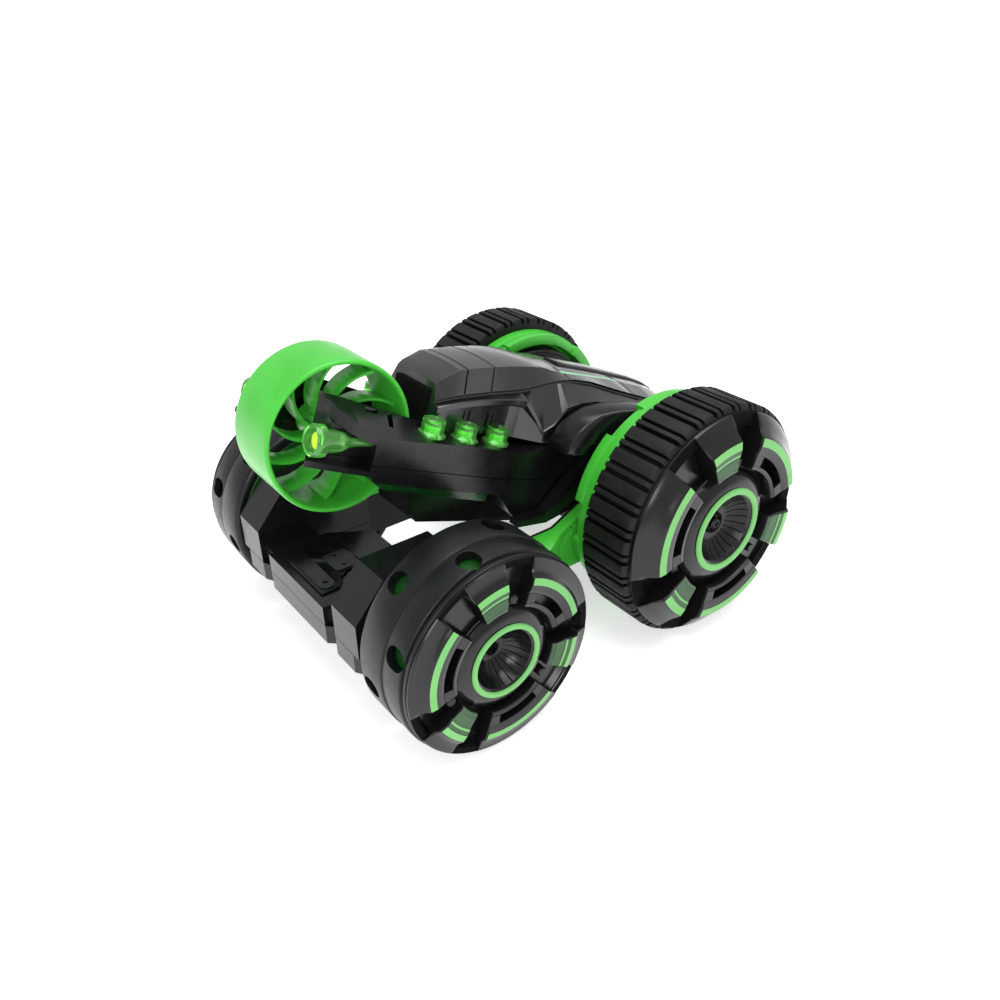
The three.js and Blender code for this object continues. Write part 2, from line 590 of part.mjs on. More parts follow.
addPair(upperBody, 'fork_arm_upper', armUpper(), blackGloss);
addPair(upperBody, 'fork_arm_lower', armLower(), blackGloss);
addPair(upperBody, 'headlamp', headlamp(), lampGreen);
LAMP_PLACES.forEach((y, n) => {
  addPair(upperBody, `deck_lamp_${n + 1}`, deckLamp(y, LAMP_HEIGHTS[n]), lampGreen);
});
addPair(upperBody, 'light_strip', lightStrip(), lampGreen);

// ---- fifth wheel --------------------------------------------------------------------------
function fifthWheel() {
  const { r, half, spokes } = FIFTH;
  const rimWall = 2.4;
  const rim = turned([[r - rimWall, -half + 1], [r - 0.6, -half], [r, -half + 0.6], [r, half - 0.6],
    [r - 0.6, half], [r - rimWall, half - 1]], 36);
  const hub = turned([[SHAFT_RADIUS + 0.6, -13], [8, -13], [8, 13], [SHAFT_RADIUS + 0.6, 13]], 16);
  const blades = [];
  const steps = 4;
  const sweep = -46;
  for (let n = 0; n < spokes; n += 1) {
    const edge = (lag) => Array.from({ length: steps + 1 }, (_, k) => {
      const radius = 7 + ((r - 8.2) * k) / steps;
      const angle = rad(n * (360 / spokes) + (sweep * k) / steps + lag * (1 - (0.45 * k) / steps));
      return [radius * Math.cos(angle), radius * Math.sin(angle)];
    });
    blades.push(prism([...edge(0), ...edge(13).reverse()], -5, 5));
  }
  return union([rim, hub, ...blades]).translate([0, FIFTH.y, FIFTH.z]);
}

addPart(upperBody, 'fifth_wheel_rim', fifthWheel(), green);
addPart(upperBody, 'fifth_wheel_axle', rod(SHAFT_RADIUS, -21.5, 21.5, FIFTH.y, FIFTH.z), steel);

export default car;
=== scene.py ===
# The looks of the five-wheeled stunt car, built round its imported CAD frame. Lengths are millimetres
# in the local frames below, and every piece is turned into the row frame's metres when it is placed.
import json
import math
import bmesh
import bpy
from mathutils import Matrix, Vector


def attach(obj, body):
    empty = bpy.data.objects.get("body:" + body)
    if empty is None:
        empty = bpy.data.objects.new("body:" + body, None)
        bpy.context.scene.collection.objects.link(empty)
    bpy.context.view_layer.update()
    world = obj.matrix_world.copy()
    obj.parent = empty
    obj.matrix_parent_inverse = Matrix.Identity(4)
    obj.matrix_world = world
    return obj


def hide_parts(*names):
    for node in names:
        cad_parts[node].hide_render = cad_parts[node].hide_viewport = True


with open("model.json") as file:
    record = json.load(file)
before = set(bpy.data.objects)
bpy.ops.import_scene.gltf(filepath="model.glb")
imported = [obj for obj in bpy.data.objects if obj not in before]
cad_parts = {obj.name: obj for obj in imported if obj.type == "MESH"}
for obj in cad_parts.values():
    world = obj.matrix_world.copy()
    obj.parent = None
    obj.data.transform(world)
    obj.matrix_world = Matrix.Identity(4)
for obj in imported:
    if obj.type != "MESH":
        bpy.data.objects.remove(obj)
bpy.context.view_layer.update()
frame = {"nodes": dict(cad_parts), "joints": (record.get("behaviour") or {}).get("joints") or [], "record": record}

# ---- frames -------------------------------------------------------------------------------------
MM = 0.001
SIDES = (("left", 1), ("right", -1))
JOINTS = {joint["name"]: joint for joint in frame["joints"]}
MOUNTS = {mount["name"]: mount for mount in frame["record"]["mounts"]}


def axle_frame(joint):
    """Millimetres about an axle, as a matrix into the row frame."""
    x, y, z = JOINTS[joint]["pos_m"]
    return Matrix.Translation((0, y, z)) @ Matrix.Scale(MM, 4)


AT_CAR = Matrix.Scale(MM, 4)
AT_REAR = axle_frame("rear_left_spin")
AT_FRONT = axle_frame("front_left_spin")
BELLY = Vector(MOUNTS["battery_door_face"]["axis"])
PITCH = math.asin(-BELLY.y)                      # how far the upper body leans back
AT_BODY = AT_REAR @ Matrix.Rotation(-PITCH, 4, "X")
AT_FIFTH = AT_BODY @ Matrix.Translation(
    AT_BODY.inverted() @ Vector(JOINTS["fifth_wheel_spin"]["pos_m"]))


# ---- mesh helpers -------------------------------------------------------------------------------
def polar(radius, angle):
    """The two coordinates of a point at this radius and angle in degrees."""
    turn = math.radians(angle)
    return radius * math.cos(turn), radius * math.sin(turn)


def steps(start, stop, count):
    """Evenly spaced values from start to stop, both included."""
    return [start + (stop - start) * k / count for k in range(count + 1)]


def ring_angles(count, extra=()):
    """Angles round a circle, with extra ones where an edge needs them."""
    wanted = {round(360 * k / count, 3) for k in range(count)}
    wanted.update(round(angle % 360, 3) for angle in extra)
    return sorted(wanted)


def turned(profile_at, angles, mark=None):
    """A (r, x) outline turned about X. It may change with the angle, and closes or ends on the axis."""
    fixed = not callable(profile_at)
    rows = [profile_at if fixed else profile_at(angle) for angle in angles]
    closed = rows[0][0][0] > 0 or rows[0][-1][0] > 0
    count = len(rows[0])
    points = [(x, *polar(r, angle)) for row, angle in zip(rows, angles) for r, x in row]
    faces, marks = [], []
    for a in range(len(angles)):
        b = (a + 1) % len(angles)
        width = (angles[b] - angles[a]) % 360
        for k in range(count if closed else count - 1):
            n = (k + 1) % count
            faces.append((a * count + k, b * count + k, b * count + n, a * count + n))
            if mark:
                r = (rows[a][k][0] + rows[a][n][0] + rows[b][k][0] + rows[b][n][0]) / 4
                x = (rows[a][k][1] + rows[a][n][1] + rows[b][k][1] + rows[b][n][1]) / 4
                marks.append(mark(r, x, angles[a] + width / 2))
    return points, faces, marks


def lofted(sections):
    """A skin over closed sections of equal point count, with flat ends."""
    count = len(sections[0])
    points = [point for section in sections for point in section]
    faces = []
    for s in range(len(sections) - 1):
        for p in range(count):
            n = (p + 1) % count
            faces.append((s * count + p, (s + 1) * count + p, (s + 1) * count + n, s * count + n))
    last = (len(sections) - 1) * count
    faces.append(tuple(range(count)))
    faces.append(tuple(last + p for p in reversed(range(count))))
    return points, faces, []


def extruded(outline, x0, x1):
    """A (y, z) outline pushed along X."""
    return lofted([[(x, y, z) for y, z in outline] for x in (x0, x1)])


def raised(outline, z0, z1):
    """An (x, y) outline pushed along Z."""
    return lofted([[(x, y, z) for x, y in outline] for z in (z0, z1)])


def box(x0, x1, y0, y1, z0, z1):
    """A plain block, used as a cutter."""
    return extruded([(y0, z0), (y1, z0), (y1, z1), (y0, z1)], x0, x1)


def post(radius, low, high, centre, axis, sides, tip=0.0):
    """A round post along an axis through centre, with a rounded tip edge."""
    spin = {"X": Matrix.Identity(4), "Y": Matrix.Rotation(math.pi / 2, 4, "Z"),
            "Z": Matrix.Rotation(-math.pi / 2, 4, "Y")}[axis]
    profile = [(0, low), (radius, low), (radius, high - tip), (radius - tip, high), (0, high)]
    if tip == 0:
        profile.pop(3)
    points, faces, marks = turned(profile, ring_angles(sides))
    return [tuple(Vector(centre) + (spin @ Vector(p))) for p in points], faces, marks


def joined(*shapes):
    """Several shapes in one mesh, left as separate shells."""
    points, faces = [], []
    for shape in shapes:
        faces += [tuple(i + len(points) for i in face) for face in shape[1]]
        points += shape[0]
    return points, faces, []


def moved(shape, matrix):
    """The shape in another place."""
    points, faces, marks = shape
    return [tuple(matrix @ Vector(p)) for p in points], faces, marks


def mirrored(shape):
    """The shape on the other side of the car, with its faces turned to point out again."""
    points, faces, marks = shape
    return [(-x, y, z) for x, y, z in points], [tuple(reversed(face)) for face in faces], marks


def mesh_of(name, shape, materials):
    """A Blender mesh of (points, faces, material number of each face)."""
    points, faces, marks = shape
    bm = bmesh.new()
    verts = [bm.verts.new(p) for p in points]
    for k, face in enumerate(faces):
        made = bm.faces.new([verts[i] for i in face])
        if marks:
            made.material_index = marks[k]
    bmesh.ops.remove_doubles(bm, verts=bm.verts, dist=1e-4)
    bmesh.ops.recalc_face_normals(bm, faces=bm.faces)
    mesh = bpy.data.meshes.new(name)
    bm.to_mesh(mesh)
    bm.free()
    for material in materials:
        mesh.materials.append(material)
    return mesh


def object_of(name, shape, materials):
    """The shape as an object in the scene."""
    obj = bpy.data.objects.new(name, mesh_of(name, shape, materials))
    bpy.context.scene.collection.objects.link(obj)
    return obj


def settle(obj):
    """Applies the modifiers to the mesh."""
    graph = bpy.context.evaluated_depsgraph_get()
    mesh = bpy.data.meshes.new_from_object(obj.evaluated_get(graph))
    obj.modifiers.clear()
    obj.data = mesh


def carve(obj, shapes, operation="DIFFERENCE"):
    """Cuts shapes out of a piece, or joins them to it."""
    for shape in shapes:
        tool = object_of("tool", shape, list(obj.data.materials))
        change = obj.modifiers.new("carve", "BOOLEAN")
        change.object = tool
        change.operation = operation
        change.solver = "EXACT"
        settle(obj)
        bpy.data.objects.remove(tool)
        if not obj.data.vertices:
            raise ValueError(f"a cut removed all of {obj.name}")


def soften(obj, width, angle=32):
    """Rounds the edges that are sharper than angle."""
    bevel = obj.modifiers.new("soften", "BEVEL")
    bevel.width = width
    bevel.segments = 2
    bevel.limit_method = "ANGLE"
    bevel.angle_limit = math.radians(angle)
    bevel.use_clamp_overlap = True
    bevel.harden_normals = True


def shade(obj, angle):
    """Smooth shading, apart from the edges that are sharper than angle."""
    obj.data.shade_smooth()
    obj.data.set_sharp_from_angle(angle=math.radians(angle))


def place(obj, at, body, nodes):
    """Turns a finished piece into the row frame and hangs it on its CAD body."""
    obj.data.transform(at)
    obj.data.update()
    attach(obj, body)
    if nodes:
        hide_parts(*nodes)


def add(name, shape, materials, at, body, nodes=(), cuts=(), joins=(), bevel=0.0, angle=38):
    """Makes a finished piece: its joins, its cuts, its rounded edges, its shading and its place."""
    obj = object_of(name, shape, materials)
    carve(obj, joins, "UNION")
    carve(obj, cuts)
    if bevel:
        soften(obj, bevel)
        settle(obj)
    shade(obj, angle)
    place(obj, at, body, nodes)


def add_pair(name, shape, materials, at, body, slot, nodes=(), cuts=(), joins=(), bevel=0.0, angle=38):
    """A left piece and its mirror image. {side} in body stands for the side's name."""
    for side, sign in SIDES:
        turn = (lambda s: s) if sign > 0 else mirrored
        add(f"{side}_{name}", turn(shape), materials, at, body.format(side=side),
            [f"{side}_{node}" for node in nodes], [turn(c) for c in cuts], [turn(j) for j in joins],
            bevel, angle)


# ---- materials ----------------------------------------------------------------------------------
RAMP_STOPS = (0.3, 0.7)                           # the part of a noise field where most of it lies
MOULDING_GRAIN = 2500.0
FAINT = 2e-6                                      # height in metres of a moulding's texture


def new_material(name):
    """A new material, its node tree and its surface shader."""
    material = bpy.data.materials.new(name)
    material.use_nodes = True
    tree = material.node_tree
    return material, tree, tree.nodes["Principled BSDF"]


def noise(tree, scale, detail=4.0, rough=0.55):
    """A noise field in the object's own coordinates."""
    where = tree.nodes.get("Where") or tree.nodes.new("ShaderNodeTexCoord")
    where.name = "Where"
    texture = tree.nodes.new("ShaderNodeTexNoise")
    texture.inputs["Scale"].default_value = scale
    texture.inputs["Detail"].default_value = detail
    texture.inputs["Roughness"].default_value = rough
    tree.links.new(where.outputs["Object"], texture.inputs["Vector"])
    return texture.outputs["Fac"]


def ramp(tree, fac, low, high):
    """Maps a 0..1 field to two colours, or to two grey levels."""
    made = tree.nodes.new("ShaderNodeValToRGB")
    for stop, position, value in zip(made.color_ramp.elements, RAMP_STOPS, (low, high)):
        stop.position = position
        stop.color = (*value, 1) if hasattr(value, "__len__") else (value, value, value, 1)
    tree.links.new(fac, made.inputs["Fac"])
    return made.outputs["Color"]


def bumped(tree, shader, fields):
    """Adds (field, height in metres) reliefs on top of each other."""
    previous = None
    for field, height in fields:
        bump = tree.nodes.new("ShaderNodeBump")
        bump.inputs["Strength"].default_value = 1.0
        bump.inputs["Distance"].default_value = height
        tree.links.new(field, bump.inputs["Height"])
        if previous:
            tree.links.new(previous, bump.inputs["Normal"])
        previous = bump.outputs["Normal"]
    tree.links.new(previous, shader.inputs["Normal"])


def plastic(name, dark, light, rough, relief=FAINT, specular=0.5):
    """Moulded plastic: a faint cloudiness in colour and gloss, and a fine moulding texture."""
    material, tree, shader = new_material(name)
    cloud = noise(tree, 45.0)
    tree.links.new(ramp(tree, cloud, dark, light), shader.inputs["Base Color"])
    smudge = noise(tree, 130.0, 6.0, 0.65)
    tree.links.new(ramp(tree, smudge, rough[0], rough[1]), shader.inputs["Roughness"])
    texture, waves = noise(tree, MOULDING_GRAIN, 3.0), noise(tree, 160.0, 2.0)
    bumped(tree, shader, [(texture, relief), (waves, relief * 2)])
    shader.inputs["Specular IOR Level"].default_value = specular
    return material


def lamp_plastic(name, tint, rough):
    """Clear green plastic with faint moulding streaks."""
    material, tree, shader = new_material(name)
    light = tuple(min(1.0, c * 1.25 + 0.05) for c in tint)
    tree.links.new(ramp(tree, noise(tree, 220.0, 3.0), tint, light), shader.inputs["Base Color"])
    tree.links.new(ramp(tree, noise(tree, 400.0), rough[0], rough[1]), shader.inputs["Roughness"])
    bumped(tree, shader, [(noise(tree, 500.0, 3.0), 1e-5)])
    shader.inputs["Transmission Weight"].default_value = 0.9
    shader.inputs["IOR"].default_value = 1.49
    return material


def rubber_material(name, grey, specular):
    """Dull rubber with a fine skin and slow waves in it."""
    material, tree, shader = new_material(name)
    tree.links.new(ramp(tree, noise(tree, 60.0), grey[0], grey[1]), shader.inputs["Base Color"])
    tree.links.new(ramp(tree, noise(tree, 260.0, 5.0), 0.5, 0.68), shader.inputs["Roughness"])
    bumped(tree, shader, [(noise(tree, 1800.0, 4.0), 1.2e-5), (noise(tree, 300.0, 3.0), 2e-5)])
    shader.inputs["Specular IOR Level"].default_value = specular
    return material


def metal(name, dark, light, rough):
    """Plain metal with a faint grain."""
    material, tree, shader = new_material(name)
    tree.links.new(ramp(tree, noise(tree, 300.0), dark, light), shader.inputs["Base Color"])
    tree.links.new(ramp(tree, noise(tree, 900.0, 5.0), rough[0], rough[1]), shader.inputs["Roughness"])
    bumped(tree, shader, [(noise(tree, 3000.0, 3.0), 3e-6)])
    shader.inputs["Metallic"].default_value = 1.0
    return material


GLOSS = plastic("black_gloss_plastic", (0.0035, 0.0035, 0.004), (0.006, 0.006, 0.0068), (0.16, 0.28),
                specular=0.36)
# painted sheen: a lighter, more reflective copy of the black gloss plastic, so that the top shell looks brighter
SHELL_SHEEN = plastic("black_shell_plastic_painted_sheen", (0.005, 0.005, 0.0056), (0.0085, 0.0085, 0.0095),
                      (0.12, 0.24), specular=0.72)
SATIN = plastic("black_satin_plastic", (0.0035, 0.0035, 0.004), (0.006, 0.006, 0.0066), (0.28, 0.4),
                relief=5e-6, specular=0.28)
# painted shade: black plastic made darker and duller than the gloss, for the gap floors, slot floors, funnel
# grooves and hub centres of the wheel faces, the front hub screws and the nose panel
SHADE_MATTE = plastic("black_plastic_painted_shade", (0.0015, 0.0017, 0.0015), (0.0028, 0.0032, 0.0028), (0.7, 0.85),
                relief=6e-6, specular=0.06)
RUBBER = rubber_material("tread_rubber", (0.005, 0.009), 0.21)
# painted shade: a darker, duller copy of the tread rubber for the floors of the tread grooves
GROOVE_SHADE_RUBBER = rubber_material("groove_rubber_painted_shade", (0.003, 0.005), 0.14)
GREEN = plastic("green_plastic", (0.04, 0.38, 0.026), (0.055, 0.45, 0.038), (0.26, 0.36), specular=0.4)
# painted shade: a darker copy of the green plastic, for the rim's green where it shows in the gaps of the wheel
# faces
SHADE_GREEN = plastic("green_plastic_painted_shade", (0.004, 0.04, 0.004), (0.007, 0.06, 0.007), (0.4, 0.55),
                      specular=0.2)
PALE = plastic("pale_green_print", (0.12, 0.38, 0.1), (0.155, 0.44, 0.13), (0.42, 0.52), specular=0.3)
MUTED = plastic("muted_green_print", (0.02, 0.065, 0.022), (0.035, 0.09, 0.035), (0.35, 0.48),
                specular=0.3)
# the core's own green, darkened to paint the shade it lies in behind the drum windows
CORE_SHADE_GREEN = plastic("core_green_plastic_painted_shade", (0.004, 0.045, 0.005), (0.006, 0.065, 0.007), (0.35, 0.5),
                     specular=0.25)
MINT = plastic("mint_stripe_print", (0.16, 0.42, 0.21), (0.2, 0.5, 0.27), (0.3, 0.42), specular=0.35)
LAMP = lamp_plastic("green_lamp_plastic", (0.22, 0.92, 0.14), (0.03, 0.1))
DARK_LAMP = lamp_plastic("dark_lamp_plastic", (0.01, 0.16, 0.02), (0.08, 0.2))
GLOW = plastic("lamp_diode_plastic", (0.55, 0.95, 0.04), (0.75, 1.0, 0.08), (0.15, 0.3))
STEEL = metal("plain_steel", (0.5, 0.5, 0.52), (0.62, 0.62, 0.64), (0.25, 0.4))
# darker steel, used for the rear hub screws
DARK_STEEL = metal("darker_steel", (0.02, 0.02, 0.021), (0.035, 0.035, 0.037), (0.35, 0.5))
BOARD = plastic("circuit_board_lacquer", (0.01, 0.13, 0.04), (0.02, 0.2, 0.06), (0.3, 0.45))
WRAP = plastic("battery_shrink_wrap", (0.03, 0.09, 0.3), (0.05, 0.13, 0.42), (0.2, 0.35))

SLOT_MATERIALS = {"black_gloss": GLOSS, "black_satin": SATIN, "tyre": RUBBER, "green_plastic": GREEN,
                  "pale_green": PALE, "lamp_green": LAMP, "steel": STEEL, "board": BOARD,
                  "battery_wrap": WRAP}
# The front hub screws and the nose panel take the black of painted shade; the rear hub screws take the darker
# steel.
NODE_LOOKS = {"rear_hub_screw": DARK_STEEL, "front_hub_screw": SHADE_MATTE, "light_strip": DARK_LAMP,
              "nose_panel": SHADE_MATTE}
CAD_BEVEL = 0.0003

# Every CAD node starts with its slot's material and rounded edges, and many are replaced below.
for part in frame["record"]["subparts"]:
    node = frame["nodes"][part["node"]]
    node.data.materials.clear()
    special = [look for ending, look in NODE_LOOKS.items() if part["node"].endswith(ending)]
    node.data.materials.append(special[0] if special else SLOT_MATERIALS[part["material_slot"]])
    soften(node, CAD_BEVEL, angle=25)


# ---- wheel faces --------------------------------------------------------------------------------
WIDE_BLOCKS, WIDE_HALF = (40, 160, 280), 29.0
NARROW_BLOCKS, NARROW_HALF = (100, 220, 340), 12.5
SLOT_HALF = 19.0
GROOVES, GROOVE_HALF, GROOVE_DEPTH = 24, 1.1, 0.55
FUNNEL_FIRST, FUNNEL_LAST = 6, 9                  # stations of a hub run where its grooves start and end
GAP_BAND = 5.0                                    # width of the band of the rim's green, darkened by painted shade, on the floor between blocks
EDGE_KNOTS = ((-0.2, 0.0), (0.15, 0.88), (0.9, 1.0))   # degrees past a block's edge, and its rise there
FACE_MATERIALS = [GLOSS, PALE, MUTED, SHADE_GREEN, SHADE_MATTE, SATIN]
# SHADE_BLACK paints shade on the gap floors, slot floors, funnel grooves and hub centre; GAP_SHADE_GREEN is the
# rim's green darkened by painted shade.
BLACK, STRIPE_GREEN, BLOCK_GREEN, GAP_SHADE_GREEN, SHADE_BLACK, FUNNEL_BLACK = range(len(FACE_MATERIALS))


def rise_past(distance, knots=EDGE_KNOTS):
    """How far the surface has risen at this distance inside an edge, 0 outside it and 1 on top."""
    if distance <= knots[0][0]:
        return 0.0
    for (d0, h0), (d1, h1) in zip(knots, knots[1:]):
        if distance <= d1:
            return h0 + (h1 - h0) * (distance - d0) / (d1 - d0)
    return 1.0


def gap_between(angle, centre):
    """Degrees between two directions."""
    return abs((angle - centre + 180) % 360 - 180)


def block_rise(angle):
    """1 on a raised block, 0 in a gap."""
    wide = [rise_past(WIDE_HALF - gap_between(angle, c)) for c in WIDE_BLOCKS]
    narrow = [rise_past(NARROW_HALF - gap_between(angle, c)) for c in NARROW_BLOCKS]
    return max(wide + narrow)


def slot_depth(angle):
    """1 along the slots in the wide blocks, 0 elsewhere."""
    return max(rise_past(SLOT_HALF - gap_between(angle, c)) for c in WIDE_BLOCKS)


def groove_depth(angle):
    """1 along the funnel's grooves, 0 between them."""
    pitch = 360 / GROOVES
    from_line = abs((angle + pitch / 2) % pitch - pitch / 2)
    return max(0.0, 1 - from_line / GROOVE_HALF)


def face_angles():
    """Angles round a wheel face: even ones, and the edges of its blocks, slots and grooves."""
    extra = []
    for centres, half in ((WIDE_BLOCKS, WIDE_HALF), (NARROW_BLOCKS, NARROW_HALF), (WIDE_BLOCKS, SLOT_HALF)):
        for centre in centres:
            for side in (-1, 1):
                extra += [centre + side * (half - d) for d, _ in EDGE_KNOTS]
    for n in range(GROOVES):
        middle = n * 360 / GROOVES
        extra += [middle - GROOVE_HALF, middle, middle + GROOVE_HALF]
    return ring_angles(120, extra)


def wheel_face(hub, block, floor, slot, back, accent, line):
    """A moulded wheel face. hub and back are (r, x) runs from the axis outwards and back to it;
    block is the run over a raised block, and floor holds the (r, x) steps between blocks. slot is
    (r, r, x); accent and line are the (r, r) of the printed stripes."""
    funnel = (hub[FUNNEL_FIRST][0] - 0.1, hub[FUNNEL_LAST][0] + 0.1)

    def floor_at(r):
        return floor[0][1] if r < floor[1][0] else floor[1][1]

    def profile(angle):
        groove = GROOVE_DEPTH * groove_depth(angle)
        inner = []
        for r, x in hub:
            inner.append((r, x - groove if funnel[0] < r < funnel[1] else x))
        rise, sunk = block_rise(angle), slot_depth(angle)
        outer = []
        for r, x in block:
            low = floor_at(r)
            height = low + (x - low) * rise
            if slot[0] <= r <= slot[1]:
                height = height + (slot[2] - height) * sunk
            outer.append((r, height))
        return inner + outer + back

    def mark(r, x, angle):
        rise = block_rise(angle)
        if r > back[0][0] - 0.01 or x < back[0][1]:
            return BLACK
        # painted shade on the hub centre and in the funnel's grooves
        if r < funnel[0] or (r < funnel[1] and groove_depth(angle) > 0.2):
            return SHADE_BLACK
        in_slot = slot[0] < r < slot[1] and slot_depth(angle) > 0.9
        # painted shade on the gap and slot floors, with the rim's green, darkened by painted shade, in a band just
        # inside the step of the gap floor
        if r > block[1][0] and (rise < 0.9 or in_slot):
            return GAP_SHADE_GREEN if rise < 0.1 and floor[1][0] - GAP_BAND < r < floor[1][0] else SHADE_BLACK
        if rise > 0.95 and accent[0] < r < accent[1]:
            return STRIPE_GREEN
        narrow = min(gap_between(angle, c) for c in NARROW_BLOCKS) < NARROW_HALF
        if rise > 0.95 and narrow and block[1][0] < r < accent[0]:
            return STRIPE_GREEN if line[0] < r < line[1] else BLOCK_GREEN
        return FUNNEL_BLACK if r < funnel[1] else BLACK

    return turned(profile, face_angles(), mark)


def slot_run(slot, height):
    """Extra stations across a slot, so that its walls stand upright and its rim is rounded."""
    r0, r1, _ = slot
    return [(r0 - 0.4, height), (r0 - 0.05, height - 0.15), (r0, height), (r1, height),
            (r1 + 0.05, height - 0.15), (r1 + 0.4, height)]


REAR_SLOT = (33.2, 38.5, 94.0)
REAR_HUB = [(0, 91.4), (3.7, 91.4), (4.0, 92.6), (5.4, 92.6), (5.8, 91.2), (8.4, 91.6), (9.2, 92.0),
            (12.4, 93.6), (15.2, 96.2), (16.9, 98.8), (17.6, 99.8), (18.2, 100.1), (21.6, 100.2),
            (24.6, 99.5), (27.2, 98.0), (29.4, 95.7), (29.8, 94.6), (30.9, 94.2)]
REAR_BLOCK = ([(31.0, 100.6), (31.3, 101.2), (31.9, 101.4)] + slot_run(REAR_SLOT, 101.6)
              + [(39.5, 101.8), (40.5, 101.9), (43.0, 102.2), (43.5, 102.25), (47.0, 101.8),
                 (47.5, 101.5), (48.0, 101.0), (49.2, 99.8), (50.5, 98.4), (53.4, 96.4), (56.6, 93.9),
                 (57.0, 93.2)])
REAR_BACK = [(57.0, 92.05), (49.4, 92.05), (49.4, 88.6), (0, 88.6)]

FRONT_SLOT = (27.2, 31.6, 93.4)
FRONT_HUB = [(0, 87.2), (2.6, 87.2), (2.9, 88.2), (4.2, 88.2), (4.5, 87.2), (6.2, 87.6), (6.8, 88.1),
             (9.6, 89.8), (12.0, 92.9), (13.6, 96.4), (14.1, 97.6), (14.8, 98.1), (17.4, 98.2),
             (20.0, 97.7), (22.2, 96.6), (24.0, 95.0), (24.2, 94.2), (24.8, 94.0)]
FRONT_BLOCK = ([(25.0, 98.6), (25.3, 99.0), (25.9, 99.2)] + slot_run(FRONT_SLOT, 99.4)
               + [(32.5, 99.6), (33.4, 99.75), (35.0, 100.0), (35.4, 100.05), (38.4, 99.6),
                  (38.9, 99.3), (39.3, 98.9), (40.2, 98.1), (41.2, 97.6), (43.6, 97.0), (46.0, 96.5),
                  (46.4, 96.0)])
FRONT_BACK = [(46.4, 95.4), (42.9, 95.4), (42.9, 91.0), (11.0, 91.0), (11.0, 85.2), (0, 85.2)]

add_pair("rear_wheel_face_moulding",
         wheel_face(REAR_HUB, REAR_BLOCK, ((0, 91.4), (49.3, 93.2)), REAR_SLOT, REAR_BACK,
                    (43.2, 47.2), (39.4, 40.6)),
         FACE_MATERIALS, AT_REAR, "rear_{side}_wheel", "black_gloss", ["rear_wheel_face"], angle=30)
add_pair("front_wheel_face_moulding",
         wheel_face(FRONT_HUB, FRONT_BLOCK, ((0, 92.4), (42.8, 95.9)), FRONT_SLOT, FRONT_BACK,
                    (35.2, 38.6), (32.4, 33.5)),
         FACE_MATERIALS, AT_FRONT, "front_{side}_wheel", "black_gloss", ["front_wheel_face"], angle=30)

STUD_RADIUS, STUD_OFFSET = 2.2, 38.25             # a stud stands in every second gap


def gap_studs(radius, low, high):
    """Three small studs on the floor between the blocks."""
    centres = [(0, *polar(radius, block + STUD_OFFSET)) for block in WIDE_BLOCKS]
    return joined(*(post(STUD_RADIUS, low, high, centre, "X", 24, tip=0.5) for centre in centres))


add_pair("rear_wheel_studs", gap_studs(33.6, 91.0, 97.6), [SATIN], AT_REAR, "rear_{side}_wheel",
         "black_gloss")
add_pair("front_wheel_studs", gap_studs(28.0, 92.0, 97.0), [SATIN], AT_FRONT, "front_{side}_wheel",
         "black_gloss")


# ---- tyres, rims, drums and hubs ----------------------------------------------------------------
LUGS = 30
TREAD_PITCH = 360 / LUGS
TREAD_TOP, TREAD_FLOOR, GROOVE_TOP = 60.0, 57.0, 58.6     # radii
# Degrees into a pitch, and the share of the tread's height that stands there.
TREAD_KNOTS = ((0.9, 0.0), (1.1, 0.92), (1.3, 0.97), (4.2, 1.0), (6.9, 1.0), (7.1, 0.94), (7.3, 0.0),
               (8.5, 0.0), (8.7, 0.92), (8.9, 1.0), (10.7, 1.0), (10.9, 0.92), (11.1, 0.0))
TYRE_SIDES = (62.75, 91.65)
TYRE_BORE = 50.0


def tread_radius(angle):
    """One wide lug and one thin rib in each pitch."""
    place_in = angle % TREAD_PITCH
    knots = [(0.0, 0.0)] + list(TREAD_KNOTS)
    for (a0, h0), (a1, h1) in zip(knots, knots[1:]):
        if place_in <= a1 + 1e-6:
            high = h0 + (h1 - h0) * (place_in - a0) / (a1 - a0)
            return TREAD_FLOOR + (TREAD_TOP - TREAD_FLOOR) * min(high, 1.0)
    return TREAD_FLOOR


def tyre():
    """A tyre whose outer radius follows the tread, with rounded shoulders."""
    inboard, outboard = TYRE_SIDES
    middle = (inboard + outboard) / 2
    limits = [(57.3, inboard), (58.6, inboard + 0.25), (59.6, inboard + 0.9), (60.1, inboard + 1.6),
              (60.1, middle), (60.1, outboard - 2.6), (59.5, outboard - 1.4), (58.5, outboard - 0.55),
              (57.6, outboard - 0.1), (57.1, outboard)]
    angles = sorted({round(start + a, 3) % 360 for start in steps(0, 360 - TREAD_PITCH, LUGS - 1)
                     for a, _ in TREAD_KNOTS})

    def profile(angle):
        r = tread_radius(angle)
        limited = [(min(r, limit), x) for limit, x in limits]
        return [(TYRE_BORE, inboard)] + limited + [(TYRE_BORE, outboard)]

    def mark(r, x, _):
        # faces below GROOVE_TOP take the groove rubber: painted shade in the grooves
        return 1 if r < GROOVE_TOP and inboard + 0.5 < x < outboard - 1.0 else 0

    return turned(profile, angles, mark)


add_pair("rear_tyre_rubber", tyre(), [RUBBER, GROOVE_SHADE_RUBBER], AT_REAR, "rear_{side}_wheel", "tyre",
         ["rear_tyre"], angle=28)

CASTELLATIONS = 6
NOTCH_SPAN = (46.0, 68.0)                         # the first notch, in degrees


def notch(angle):
    """1 in a notch of the rim's inner lip, 0 between notches."""
    past = (angle - NOTCH_SPAN[0]) % (360 / CASTELLATIONS)
    inside = min(past, NOTCH_SPAN[1] - NOTCH_SPAN[0] - past)
    return rise_past(inside, ((-0.3, 0.0), (0.1, 0.9), (0.6, 1.0)))


